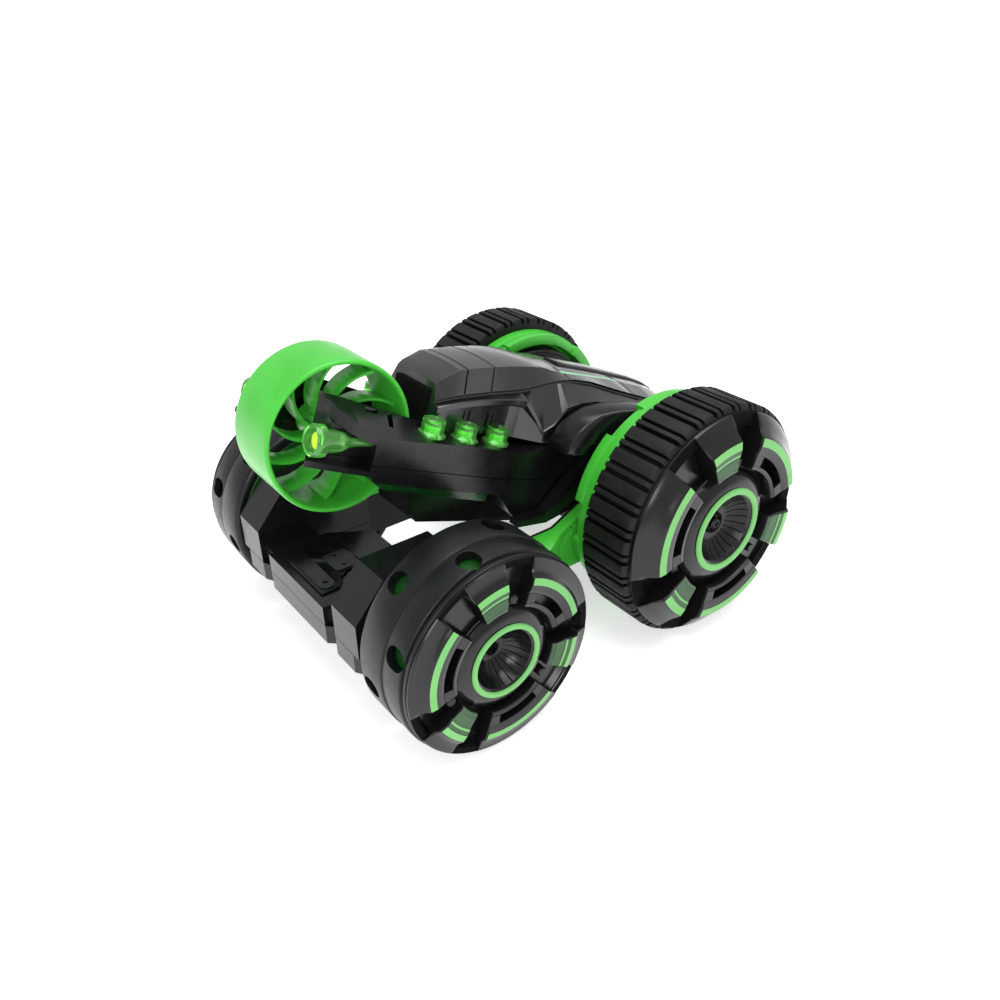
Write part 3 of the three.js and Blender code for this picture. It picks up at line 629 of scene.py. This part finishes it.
def rear_rim():
    """A deep dish with a notched inner lip and a flange beside the tyre."""
    edges = [n * 360 / CASTELLATIONS + edge + d for n in range(CASTELLATIONS)
             for edge in NOTCH_SPAN for d in (-0.6, -0.3, -0.1, 0.1, 0.3, 0.6)]

    def profile(angle):
        cut = notch(angle)
        lip, flange = 49.5 + 2.0 * cut, 54.0 - 1.7 * cut
        return [(2.6, 81), (2.6, 88.2), (49.6, 88.2), (49.6, 62.4), (53.5, 62.4), (53.9, 62.1), (54, 61.7),
                (54, 55.4), (53.9, 55.1), (flange, 54.8), (flange, lip + 0.5), (flange - 0.15, lip + 0.15),
                (flange - 0.5, lip), (48.8, lip), (48.3, lip + 0.3), (47.6, 56.5), (46.4, 57.5),
                (46.4, 84.5), (9, 84.5), (9, 81)]

    return turned(profile, ring_angles(120, edges))


add_pair("rear_rim_moulding", rear_rim(), [GREEN], AT_REAR, "rear_{side}_wheel", "green_plastic",
         ["rear_rim"], angle=35)


def hub_ring(r0, r1, x):
    """A flat ring with rounded edges."""
    return turned([(r0, x), (r0 + 0.15, x + 0.7), (r0 + 0.55, x + 1), (r1 - 0.55, x + 1),
                   (r1 - 0.15, x + 0.7), (r1, x)], ring_angles(128))


add_pair("rear_hub_trim", hub_ring(18.3, 21.7, 100.4), [PALE], AT_REAR, "rear_{side}_wheel", "pale_green",
         ["rear_hub_ring"], angle=50)
add_pair("front_hub_trim", hub_ring(14.9, 17.5, 98.4), [PALE], AT_FRONT, "front_{side}_wheel", "pale_green",
         ["front_hub_ring"], angle=50)


def rounded(x0, x1, y0, y1, radius):
    """A rectangle with round corners, as (x, y) points."""
    corners = ((x1 - radius, y1 - radius, 0), (x0 + radius, y1 - radius, 90),
               (x0 + radius, y0 + radius, 180), (x1 - radius, y0 + radius, 270))
    outline = []
    for cx, cy, start in corners:
        for turn in steps(start, start + 90, 5):
            dx, dy = polar(radius, turn)
            outline.append((cx + dx, cy + dy))
    return outline


def drum_window(x0, x1, angle):
    """A cutter for a round-ended window through the drum's wall, centred at angle."""
    cutter = raised(rounded(x0, x1, -4.8, 4.8, 4.4), 42.0, 50.0)
    return moved(cutter, Matrix.Rotation(math.radians(angle - 90), 4, "X"))


DRUM = [(43.6, 61), (45.9, 61), (46.8, 61.3), (47.6, 62.1), (48.1, 63.3), (48.1, 77.9), (47.95, 78.5),
        (47.5, 78.8), (47.2, 79.0), (47.2, 79.4), (47.5, 79.6), (47.6, 80.0), (47.6, 90.8),
        (47.45, 91.4), (47.0, 91.8), (46.4, 91.9), (46.1, 92.1), (46.1, 92.8), (46.4, 93.0),
        (46.7, 93.2), (46.7, 94.4), (46.4, 94.85), (45.9, 95), (43.6, 95)]
WINDOWS = ([(80.4, 91.9, 100 + 60 * n) for n in range(6)]
           + [(63.9, 74.4, 130 + 60 * n) for n in range(6)])
add_pair("front_drum_shell", turned(DRUM, ring_angles(144)), [SATIN], AT_FRONT, "front_{side}_wheel",
         "black_satin", ["front_wheel_drum"], cuts=[drum_window(*window) for window in WINDOWS], angle=30)
CORE = [(2.8, 61.4), (42.3, 61.4), (42.9, 62.0), (42.9, 90.0), (42.3, 90.6), (40.6, 90.6), (40.6, 64.4),
        (9, 64.4), (9, 84.8), (2.8, 84.8)]
# the core shows through the drum windows in the green darkened by painted shade
add_pair("front_core_moulding", turned(CORE, ring_angles(96)), [CORE_SHADE_GREEN], AT_FRONT, "front_{side}_wheel",
         "green_plastic", ["front_wheel_core"])
GEARBOX = [(2.4, 48.95), (40.2, 48.95), (40.8, 49.6), (43.4, 49.6), (43.9, 48.95), (44.4, 48.95),
           (45.2, 49.6), (45.4, 50.4), (45.4, 54.4), (44, 57), (42, 59), (38.4, 61.4), (34.6, 63.6),
           (30, 66), (24, 70), (18.6, 75), (15.4, 79), (14.4, 79.5), (2.4, 79.5)]
add_pair("gearbox_dome", turned(GEARBOX, ring_angles(96)), [SATIN], AT_REAR, "chassis", "black_satin",
         ["gearbox_drum"])

# ---- fifth wheel --------------------------------------------------------------------------------
FIFTH_R, FIFTH_HALF = 34.1, 15.3
BLADES, SWEEP, LEAN = 10, -46.0, 52.0             # the sweep and lean are in degrees
BLADE_ROOT, BLADE_TIP = 6.4, 31.9


def fifth_rim():
    """A broad hoop, a little thicker in its middle, with rounded edges."""
    half = FIFTH_HALF
    outer = [(31.9, -half + 0.9), (32.2, -half + 0.3), (32.9, -half), (33.6, -half + 0.2),
             (34.0, -half + 0.8), (FIFTH_R, -half + 1.6)]
    inner = [(31.5, -half + 4)]
    run = outer + [(r, -x) for r, x in reversed(outer)] + [(r, -x) for r, x in inner] + [(31.3, 0)] + inner
    return turned(run, ring_angles(144))


def blade(start):
    """A vane that sweeps back as it runs out from the hub, and widens into the rim."""
    sections = []
    for t in steps(0, 1, 14):
        radius = BLADE_ROOT + (BLADE_TIP - BLADE_ROOT) * t
        angle = math.radians(start + SWEEP * t)
        lean = math.radians(LEAN * (0.35 + 0.65 * t))
        thick = 1.0 + 1.2 * (1 - t) ** 2 + 0.9 * max(0.0, t - 0.8) / 0.2
        half = 4.2 + 2.4 * t
        along = Vector((0, math.cos(angle), math.sin(angle)))
        across = Vector((0, math.sin(angle), -math.cos(angle)))
        normal = across * math.cos(lean) - along * math.sin(lean)
        middle = along * radius
        axle = Vector((1, 0, 0))
        corners = ((-1, -1), (-1, 1), (1, 1), (1, -1))
        sections.append([tuple(middle + axle * (half * a) + normal * (thick / 2 * b)) for a, b in corners])
    return lofted(sections)


FIFTH_HUB = [(2.6, -13), (6.4, -13), (7.2, -12.7), (7.6, -12.0), (8.2, -6.5), (8.2, 6.5), (7.6, 12.0),
             (7.2, 12.7), (6.4, 13), (2.6, 13)]
add("fifth_wheel_turbine", fifth_rim(), [GREEN], AT_FIFTH, "fifth_wheel",
    ["fifth_wheel_rim"], joins=[turned(FIFTH_HUB, ring_angles(48))]
    + [blade(360 * n / BLADES) for n in range(BLADES)], bevel=0.35, angle=40)

# ---- top shell ----------------------------------------------------------------------------------
# Lines along the left half of the top shell, one row for each station: place along the body, middle
# height, then (x, z) of the roof's ridge, the side panel's foot and the ledge, and the wall's x.
SHELL_FOOT = 14.65
SHELL = [
    (-126, 35.0, (15.6, 34.4), (18.4, 27.2), (21.6, 25.2), 20.8),
    (-124, 37.2, (15.8, 36.6), (18.5, 27.8), (22.0, 26.0), 20.6),
    (-115, 42.8, (16.6, 42.0), (18.7, 30.2), (23.2, 28.8), 20.6),
    (-105, 45.0, (17.0, 44.0), (19.0, 32.2), (24.0, 30.9), 20.8),
    (-96, 46.8, (17.2, 45.6), (19.4, 34.0), (24.8, 32.2), 21.2),
    (-86, 48.2, (17.6, 47.0), (20.4, 35.8), (25.8, 33.3), 22.0),
    (-79, 48.8, (17.8, 47.8), (21.6, 37.4), (27.0, 33.6), 23.6),
    (-73, 49.0, (17.6, 48.2), (22.6, 39.6), (29.0, 27.4), 26.6),
    (-67.5, 49.0, (17.2, 48.2), (23.0, 41.6), (30.6, 20.6), 29.4),
    (-63, 48.9, (17.0, 47.8), (23.2, 43.0), (31.6, 24.5), 30.8),
    (-58, 48.7, (16.8, 47.2), (23.2, 44.2), (32.4, 34.0), 31.6),
    (-50, 48.4, (16.5, 46.8), (23.2, 45.4), (32.6, 37.0), 32.2),
    (-40, 48.2, (16.3, 46.8), (25.2, 45.8), (32.6, 38.6), 32.4),
    (-20, 47.6, (15.9, 46.6), (27.0, 43.6), (32.6, 38.0), 32.4),
    (8, 46.0, (15.0, 45.0), (26.6, 41.0), (32.6, 36.6), 32.4),
    (20, 44.6, (13.8, 43.6), (25.6, 39.2), (32.0, 35.0), 31.6),
    (31, 41.4, (12.4, 40.4), (23.6, 36.2), (30.2, 32.0), 29.8),
    (40, 35.6, (10.4, 34.8), (20.4, 32.2), (26.8, 28.6), 26.4),
]
PANEL_SEAMS = ((-111, True), (-96.5, True), (-53, False), (-10, False))   # the first two cross the side panel
SEAM_DEPTH, SEAM_TOP, SEAM_BOTTOM = 0.9, 0.5, 0.3
STRIPE = (-54, -12)
STRIPE_WIDTH = 2.6


def between(low, high, share):
    """A value, or nested values, part of the way from low to high."""
    if hasattr(low, "__len__"):
        return tuple(between(a, b, share) for a, b in zip(low, high))
    return low + (high - low) * share


def shell_row(y):
    """The shell's lines at any place along the body."""
    for low, high in zip(SHELL, SHELL[1:]):
        if y <= high[0]:
            return between(low, high, (y - low[0]) / (high[0] - low[0]))
    return SHELL[-1]


def shell_section(y, sunk, side_sunk):
    """The left half of the section as (x, z), from the middle of the roof to the foot."""
    _, middle, ridge, panel, ledge, wall = shell_row(y)
    rise = SHELL_FOOT + 3.0
    return [(0, middle - sunk), (ridge[0] * 0.55, between(middle, ridge[1], 0.3) - sunk),
            (ridge[0] - STRIPE_WIDTH, between(middle, ridge[1], 0.75) - sunk),
            (ridge[0] - side_sunk * 0.6, ridge[1] - sunk),
            (panel[0] - side_sunk, panel[1] + 0.5), (panel[0] - 0.3, panel[1]),
            (panel[0] - 1.0, panel[1] - 0.5), (panel[0] - 0.6, panel[1] - 1.2),
            (ledge[0] - 0.7, ledge[1] + 0.35), (ledge[0], ledge[1]),
            (ledge[0] - 0.1, ledge[1] - 2.4), (wall, between(rise, ledge[1], 0.75)), (wall, rise),
            (wall, SHELL_FOOT)]


def top_shell():
    """The shell as one skin, with narrow seams sunk into it and two printed stripes."""
    places = sorted({row[0] for row in SHELL} | set(range(-120, 40, 5)))
    rows = [(y, 0.0, 0.0) for y in places]
    for seam, side in PANEL_SEAMS:
        rows = [row for row in rows if abs(row[0] - seam) > 0.8]
        deep = (SEAM_DEPTH, SEAM_DEPTH * side)
        rows += [(seam - SEAM_TOP, 0, 0), (seam - SEAM_BOTTOM, *deep), (seam + SEAM_BOTTOM, *deep),
                 (seam + SEAM_TOP, 0, 0)]
    rows.sort()
    points, faces, marks = [], [], []
    for y, sunk, side_sunk in rows:
        half = shell_section(y, sunk, side_sunk)
        whole = half + [(-x, z) for x, z in reversed(half[1:])]
        points += [(x, y, z) for x, z in whole]
    half_count = len(half)
    count = 2 * half_count - 1
    for s in range(len(rows) - 1):
        middle = (rows[s][0] + rows[s + 1][0]) / 2
        for p in range(count):
            n = (p + 1) % count
            faces.append((s * count + p, (s + 1) * count + p, (s + 1) * count + n, s * count + n))
            # the ring runs down the left side, across the foot and up the right side
            striped = p == 2 or p == count - 3
            marks.append(1 if striped and STRIPE[0] < middle < STRIPE[1] else 0)
    last = (len(rows) - 1) * count
    faces += [tuple(range(count)), tuple(last + p for p in reversed(range(count)))]
    return points, faces, marks + [0, 0]


VENTS = [box(19.0, 22.5, y - 0.45, y + 0.45, 18, 24.5) for y in (-110, -107, -96.5, -93.5)]
# the top shell takes the copy of the gloss plastic with painted sheen
add("top_shell_moulding", top_shell(), [SHELL_SHEEN, MINT], AT_BODY, "upper_body",
    ["body_top_shell"], cuts=VENTS + [mirrored(vent) for vent in VENTS], bevel=0.4, angle=13)


def spine_section(y):
    """The section, at y, of a low ridge along the middle of the roof."""
    middle = shell_row(y)[1]
    return [(-7, y, middle - 1.2), (-6.2, y, middle + 0.6), (-4, y, middle + 1.1), (4, y, middle + 1.1),
            (6.2, y, middle + 0.6), (7, y, middle - 1.2)]


add("spine_ridge", lofted([spine_section(y) for y in (-46, -40, -20, 0, 8, 20, 28)]), [GLOSS], AT_BODY,
    "upper_body", ["spine_cover"], bevel=0.4, angle=24)

FAIRING = [(-66.5, 15), (-65.6, 19), (-63, 25.5), (-58.3, 30.8), (-50, 35.8), (-43, 37.9), (-36.3, 39.2),
           (-20, 40.6), (4, 40.2), (20, 38), (31, 34.2), (37, 30.4), (35, 26.5), (0, 26.5), (-30, 24.5),
           (-44, 21), (-48, 15)]
add_pair("wheel_arch", extruded(FAIRING, 33, 47.5), [GLOSS], AT_BODY, "upper_body", "black_gloss",
         ["wheel_fairing"], bevel=1.2, angle=40)

# ---- fork arms ----------------------------------------------------------------------------------
ARM_INNER, ARM_OUTER = 16.6, 33.0
# Place along the arm, and the deck's height at its outer and inner edges.
DECK = [(-192.6, 29, 28), (-190, 29.5, 28), (-184, 23.4, 27.2), (-178, 19.2, 26), (-169, 16, 24.4),
        (-160, 14, 22.6), (-147, 13, 20.4), (-135, 12.6, 18), (-111, 12.2, 14.6), (-98, 11.4, 13.2),
        (-87, 10.4, 12.2), (-80, 9.4, 12), (-74, 10.6, 12.2), (-67, 13.6, 13.6), (-62, 14.3, 14),
        (-43, 14.3, 14)]
ARM_BELLY = [(-43, -4), (-46, -9), (-50, -15), (-56, -21.5), (-61, -24.3), (-66, -24.9), (-71, -23.8),
             (-76, -21), (-81, -16.2), (-87, -11), (-128, -8.5), (-158.5, -6), (-160.5, -3.6),
             (-192.4, 0.2)]
SEAM_GAP = 0.35
AXLE_CUT = post(2.4, 10, 22, (0, -166.8, 6.6), "X", 32)
TIP_SWEEP = raised([(10, -200), (34, -200), (34, -193.2), (ARM_INNER, -182.6), (10, -178.3)], -20, 40)
ROOF_SWEEP = raised([(20.3, -200), (40, -200), (40, -161.3), (33.4, -161.3), (32.4, -165), (31, -168.5),
                     (29.4, -171.9), (27.5, -175), (25.6, -177.9), (23.6, -180.5), (21.8, -183.2),
                     (20.3, -186.5)], 4.6, 40)
POD = extruded([(-196, 3.4), (-161, -1.6), (-161, 10.4), (-169, 12.4), (-177, 15.8), (-188, 26), (-196, 26)],
               23.5, 35)
REAR_PANEL = extruded([(-81.2, 8), (-87.4, -12), (-87.4, -30), (-40, -30), (-40, 8.6), (-74, 8.6),
                       (-78, 8)], ARM_OUTER - 0.8, ARM_OUTER + 1)
DECK_SLOTS = [raised([(17.6, -160.4), (20.4, -161.4), (20.4, -155.4), (17.6, -154)], 14, 30),
              raised([(17.9, -149.4), (26.4, -152.6), (26.4, -150.2), (17.9, -146.6)], 14, 30)]


def parting(y):
    """Height of the line where the arm's two halves meet."""
    return between(3.4, -3.0, min(1.0, (y + 190) / 103))


def arm_upper():
    """The upper half of a fork arm, below its twisting deck."""
    return lofted([[(ARM_OUTER, y, parting(y)), (ARM_OUTER, y, outer), (ARM_INNER, y, inner),
                    (ARM_INNER, y, parting(y))] for y, outer, inner in DECK])


def arm_lower():
    """The lower half of a fork arm, down to its belly."""
    top = [(y, parting(y) - SEAM_GAP) for y in (-192.4, -160, -120, -87, -60, -43)]
    return extruded(top + ARM_BELLY, ARM_INNER, ARM_OUTER)


LAMP_X = 24.8
LAMPS = [(-128.8, 13.4), (-110, 12.2), (-91, 11.6)]           # place along the arm, and flange height
LAMP_SEATS = [post(6.9, z - 0.3, 24, (LAMP_X, y, 0), "Z", 40) for y, z in LAMPS]
ROUND_ARM = dict(bevel=0.45, angle=9)
add_pair("arm_upper_moulding", arm_upper(), [GLOSS], AT_BODY, "upper_body", "black_gloss",
         ["fork_arm_upper"],
         cuts=[POD, ROOF_SWEEP, AXLE_CUT, TIP_SWEEP, REAR_PANEL] + DECK_SLOTS + LAMP_SEATS, **ROUND_ARM)
add_pair("arm_lower_moulding", arm_lower(), [GLOSS], AT_BODY, "upper_body", "black_gloss",
         ["fork_arm_lower"], cuts=[POD, AXLE_CUT, TIP_SWEEP, REAR_PANEL], **ROUND_ARM)


# ---- lamps --------------------------------------------------------------------------------------
def lamp_cap(y, z):
    """A clear flanged cap, hollow from below."""
    profile = [(0, z + 6.2), (3.5, z + 6.2), (3.8, z + 6.5), (4.1, z + 7.8), (4.6, z + 8.0), (5.1, z + 7.8),
               (5.2, z + 7.2), (5.2, z + 2.9), (5.3, z + 2.3), (6.0, z + 1.9), (6.5, z + 1.3), (6.5, z + 0.2),
               (6.2, z), (3.9, z), (3.9, z + 4.8), (3.4, z + 5.3), (0, z + 5.3)]
    turn = Matrix.Translation((LAMP_X, y, 0)) @ Matrix.Rotation(-math.pi / 2, 4, "Y")
    return moved(turned(profile, ring_angles(48)), turn)


for n, (y, z) in enumerate(LAMPS):
    add_pair(f"lamp_cap_{n + 1}", lamp_cap(y, z), [LAMP], AT_BODY, "upper_body", "lamp_green",
             [f"deck_lamp_{n + 1}"], angle=40)
    add_pair(f"lamp_diode_{n + 1}", post(3.6, z + 0.2, z + 4.8, (LAMP_X, y, 0), "Z", 32, tip=0.9), [GLOW],
             AT_BODY, "upper_body", "lamp_green")

HEAD_X, HEAD_Z = 29.6, 10.1
HEADLAMP = [(0, -186.6), (4.2, -186.6), (4.9, -187.6), (5.1, -189.6), (5.6, -190), (6.3, -189.9),
            (6.8, -189.2), (6.8, -185.6), (6.6, -185), (5.9, -184.7), (5.1, -184.4), (4.9, -183.6),
            (4.6, -178.6), (4.0, -175.6), (2.6, -173.2), (1.9, -171.4), (1.5, -162.4), (1.2, -161.7),
            (0, -161.6)]


def headlamp():
    """A lens ring, a tapering barrel and a thin stem, turned about a line along Y."""
    turn = Matrix.Translation((HEAD_X, 0, HEAD_Z)) @ Matrix.Rotation(math.pi / 2, 4, "Z")
    return moved(turned(HEADLAMP, ring_angles(48)), turn)


add_pair("headlamp_lens", headlamp(), [LAMP], AT_BODY, "upper_body", "lamp_green", ["headlamp"], angle=40)
add_pair("headlamp_diode", post(3.4, -187.4, -186.7, (HEAD_X, 0, HEAD_Z), "Y", 32), [GLOW], AT_BODY,
         "upper_body", "lamp_green")

# ---- front beam ---------------------------------------------------------------------------------
COVER_Z = 54.85
COVER = raised([(-19, -110.2), (19, -110.2), (19, -99), (13, -97), (9, -91), (9, -83), (-9, -83), (-9, -91),
                (-13, -97), (-19, -99)], COVER_Z, COVER_Z + 0.7)
COVER_BAR = raised(rounded(-17.6, 17.6, -109, -101.4, 3.6), COVER_Z + 0.5, COVER_Z + 1.5)
COVER_TAB = raised(rounded(-7.8, 7.8, -96.5, -84, 2.4), COVER_Z + 0.5, COVER_Z + 0.9)
BAR_HOLES = [post(1.4, COVER_Z + 0.9, 60, (13.2, -105.2, 0), "Z", 24)]
TAB_HOLES = [post(0.9, COVER_Z + 0.6, 60, (x, -91, 0), "Z", 24) for x in (-4.6, 4.6)]
add("beam_cover_plate", COVER, [GLOSS], AT_CAR, "chassis", ["front_beam_cover"], bevel=0.25,
    angle=30)
add("beam_cover_bar", COVER_BAR, [GLOSS], AT_CAR, "chassis", cuts=BAR_HOLES, angle=30)
add("beam_cover_tab", COVER_TAB, [GLOSS], AT_CAR, "chassis", cuts=TAB_HOLES, angle=30)

# ---- side arms ----------------------------------------------------------------------------------
ARM_SIDE = [(-53.65, 34), (-53.65, 56), (4, 56), (30, 68), (48, 78), (72, 80), (84, 68), (84, 50), (72, 40),
            (50, 40), (24, 34)]
SIDE_BLOCK = raised([(42.2, -53.65), (57, -53.65), (57, -10), (48.6, 4), (42.2, 4)], 34, 56)
SIDE_SEAM = [(10.4, 58.6), (8.6, 55.6), (6.2, 53.4), (3.6, 51.2), (1.4, 48.6), (-0.2, 45.6), (-1.2, 42)]
SEAM_CUT = extruded(SIDE_SEAM + [(y + 0.5, z - 0.3) for y, z in reversed(SIDE_SEAM)], 48.1, 50)
add_pair("side_arm_moulding", extruded(ARM_SIDE, 42.2, 48.6), [GREEN], AT_CAR, "chassis", "green_plastic",
         ["side_arm"], joins=[SIDE_BLOCK],
         cuts=[post(2.35, 40, 60, (0, 64, 60), "X", 32), SEAM_CUT,
               post(0.8, 47, 50, (0, 11.2, 57.2), "X", 20)],
         bevel=0.5, angle=30)

# ---- camera, floor and light --------------------------------------------------------------------
CAMERA_AZIMUTH, CAMERA_ELEVATION, CAMERA_ROLL = 53.07, 30.5, -1.11     # degrees
CAMERA_DISTANCE, CAMERA_LENS = 0.4646, 32.72      # metres from the aim, and millimetres
CAMERA_AIM = Vector((0.0082, -0.0022, 0.0589))
# Name, place, (width, height) and power. Lengths are in metres and power in watts.
SOFTBOXES = [("top_softbox", (0.1, 0.1, 1.1), (0.9, 0.9), 11),
             ("front_softbox", (0.9, -0.9, 0.7), (0.7, 0.5), 7)]
LIGHT_AIM = (0, 0, 0.05)
FLOOR_GLOW = 0.5                                  # keeps the floor paper white
ROOM_LIGHT = 0.75


def add_camera():
    data = bpy.data.cameras.new("camera")
    data.lens = CAMERA_LENS
    data.clip_start, data.clip_end = 0.01, 20
    camera = bpy.data.objects.new("camera", data)
    bpy.context.scene.collection.objects.link(camera)
    a, e = math.radians(CAMERA_AZIMUTH), math.radians(CAMERA_ELEVATION)
    back = Vector((math.sin(a) * math.cos(e), -math.cos(a) * math.cos(e), math.sin(e)))
    turn = (-back).to_track_quat("-Z", "Y").to_matrix().to_4x4()
    roll = Matrix.Rotation(math.radians(CAMERA_ROLL), 4, "Z")
    camera.matrix_world = Matrix.Translation(CAMERA_AIM + back * CAMERA_DISTANCE) @ turn @ roll
    bpy.context.scene.camera = camera


def add_floor():
    radius, sides, thickness = 30.0, 64, 0.02
    outline = [polar(radius, 360 * k / sides) for k in range(sides)]
    floor = object_of("floor", raised(outline, -thickness, 0), [])
    material, tree, shader = new_material("pale_floor")
    tree.links.new(ramp(tree, noise(tree, 3.0), (0.88, 0.88, 0.88), (0.92, 0.92, 0.92)),
                   shader.inputs["Base Color"])
    shader.inputs["Roughness"].default_value = 0.85
    shader.inputs["Specular IOR Level"].default_value = 0.1
    shader.inputs["Emission Color"].default_value = (1.0, 1.0, 1.0, 1)
    shader.inputs["Emission Strength"].default_value = FLOOR_GLOW
    floor.data.materials.append(material)


def add_light(name, where, size, power):
    data = bpy.data.lights.new(name, "AREA")
    data.shape = "RECTANGLE"
    data.size, data.size_y = size
    data.energy = power
    light = bpy.data.objects.new(name, data)
    bpy.context.scene.collection.objects.link(light)
    light.location = where
    light.rotation_mode = "QUATERNION"
    light.rotation_quaternion = (Vector(LIGHT_AIM) - Vector(where)).to_track_quat("-Z", "Y")


def add_world():
    world = bpy.data.worlds.new("studio")
    world.use_nodes = True
    backdrop = world.node_tree.nodes["Background"]
    backdrop.inputs["Color"].default_value = (1.0, 1.0, 1.0, 1)
    backdrop.inputs["Strength"].default_value = ROOM_LIGHT
    bpy.context.scene.world = world
    bpy.context.scene.view_settings.view_transform = "Standard"


add_camera()
add_floor()
add_world()
for softbox in SOFTBOXES:
    add_light(*softbox)
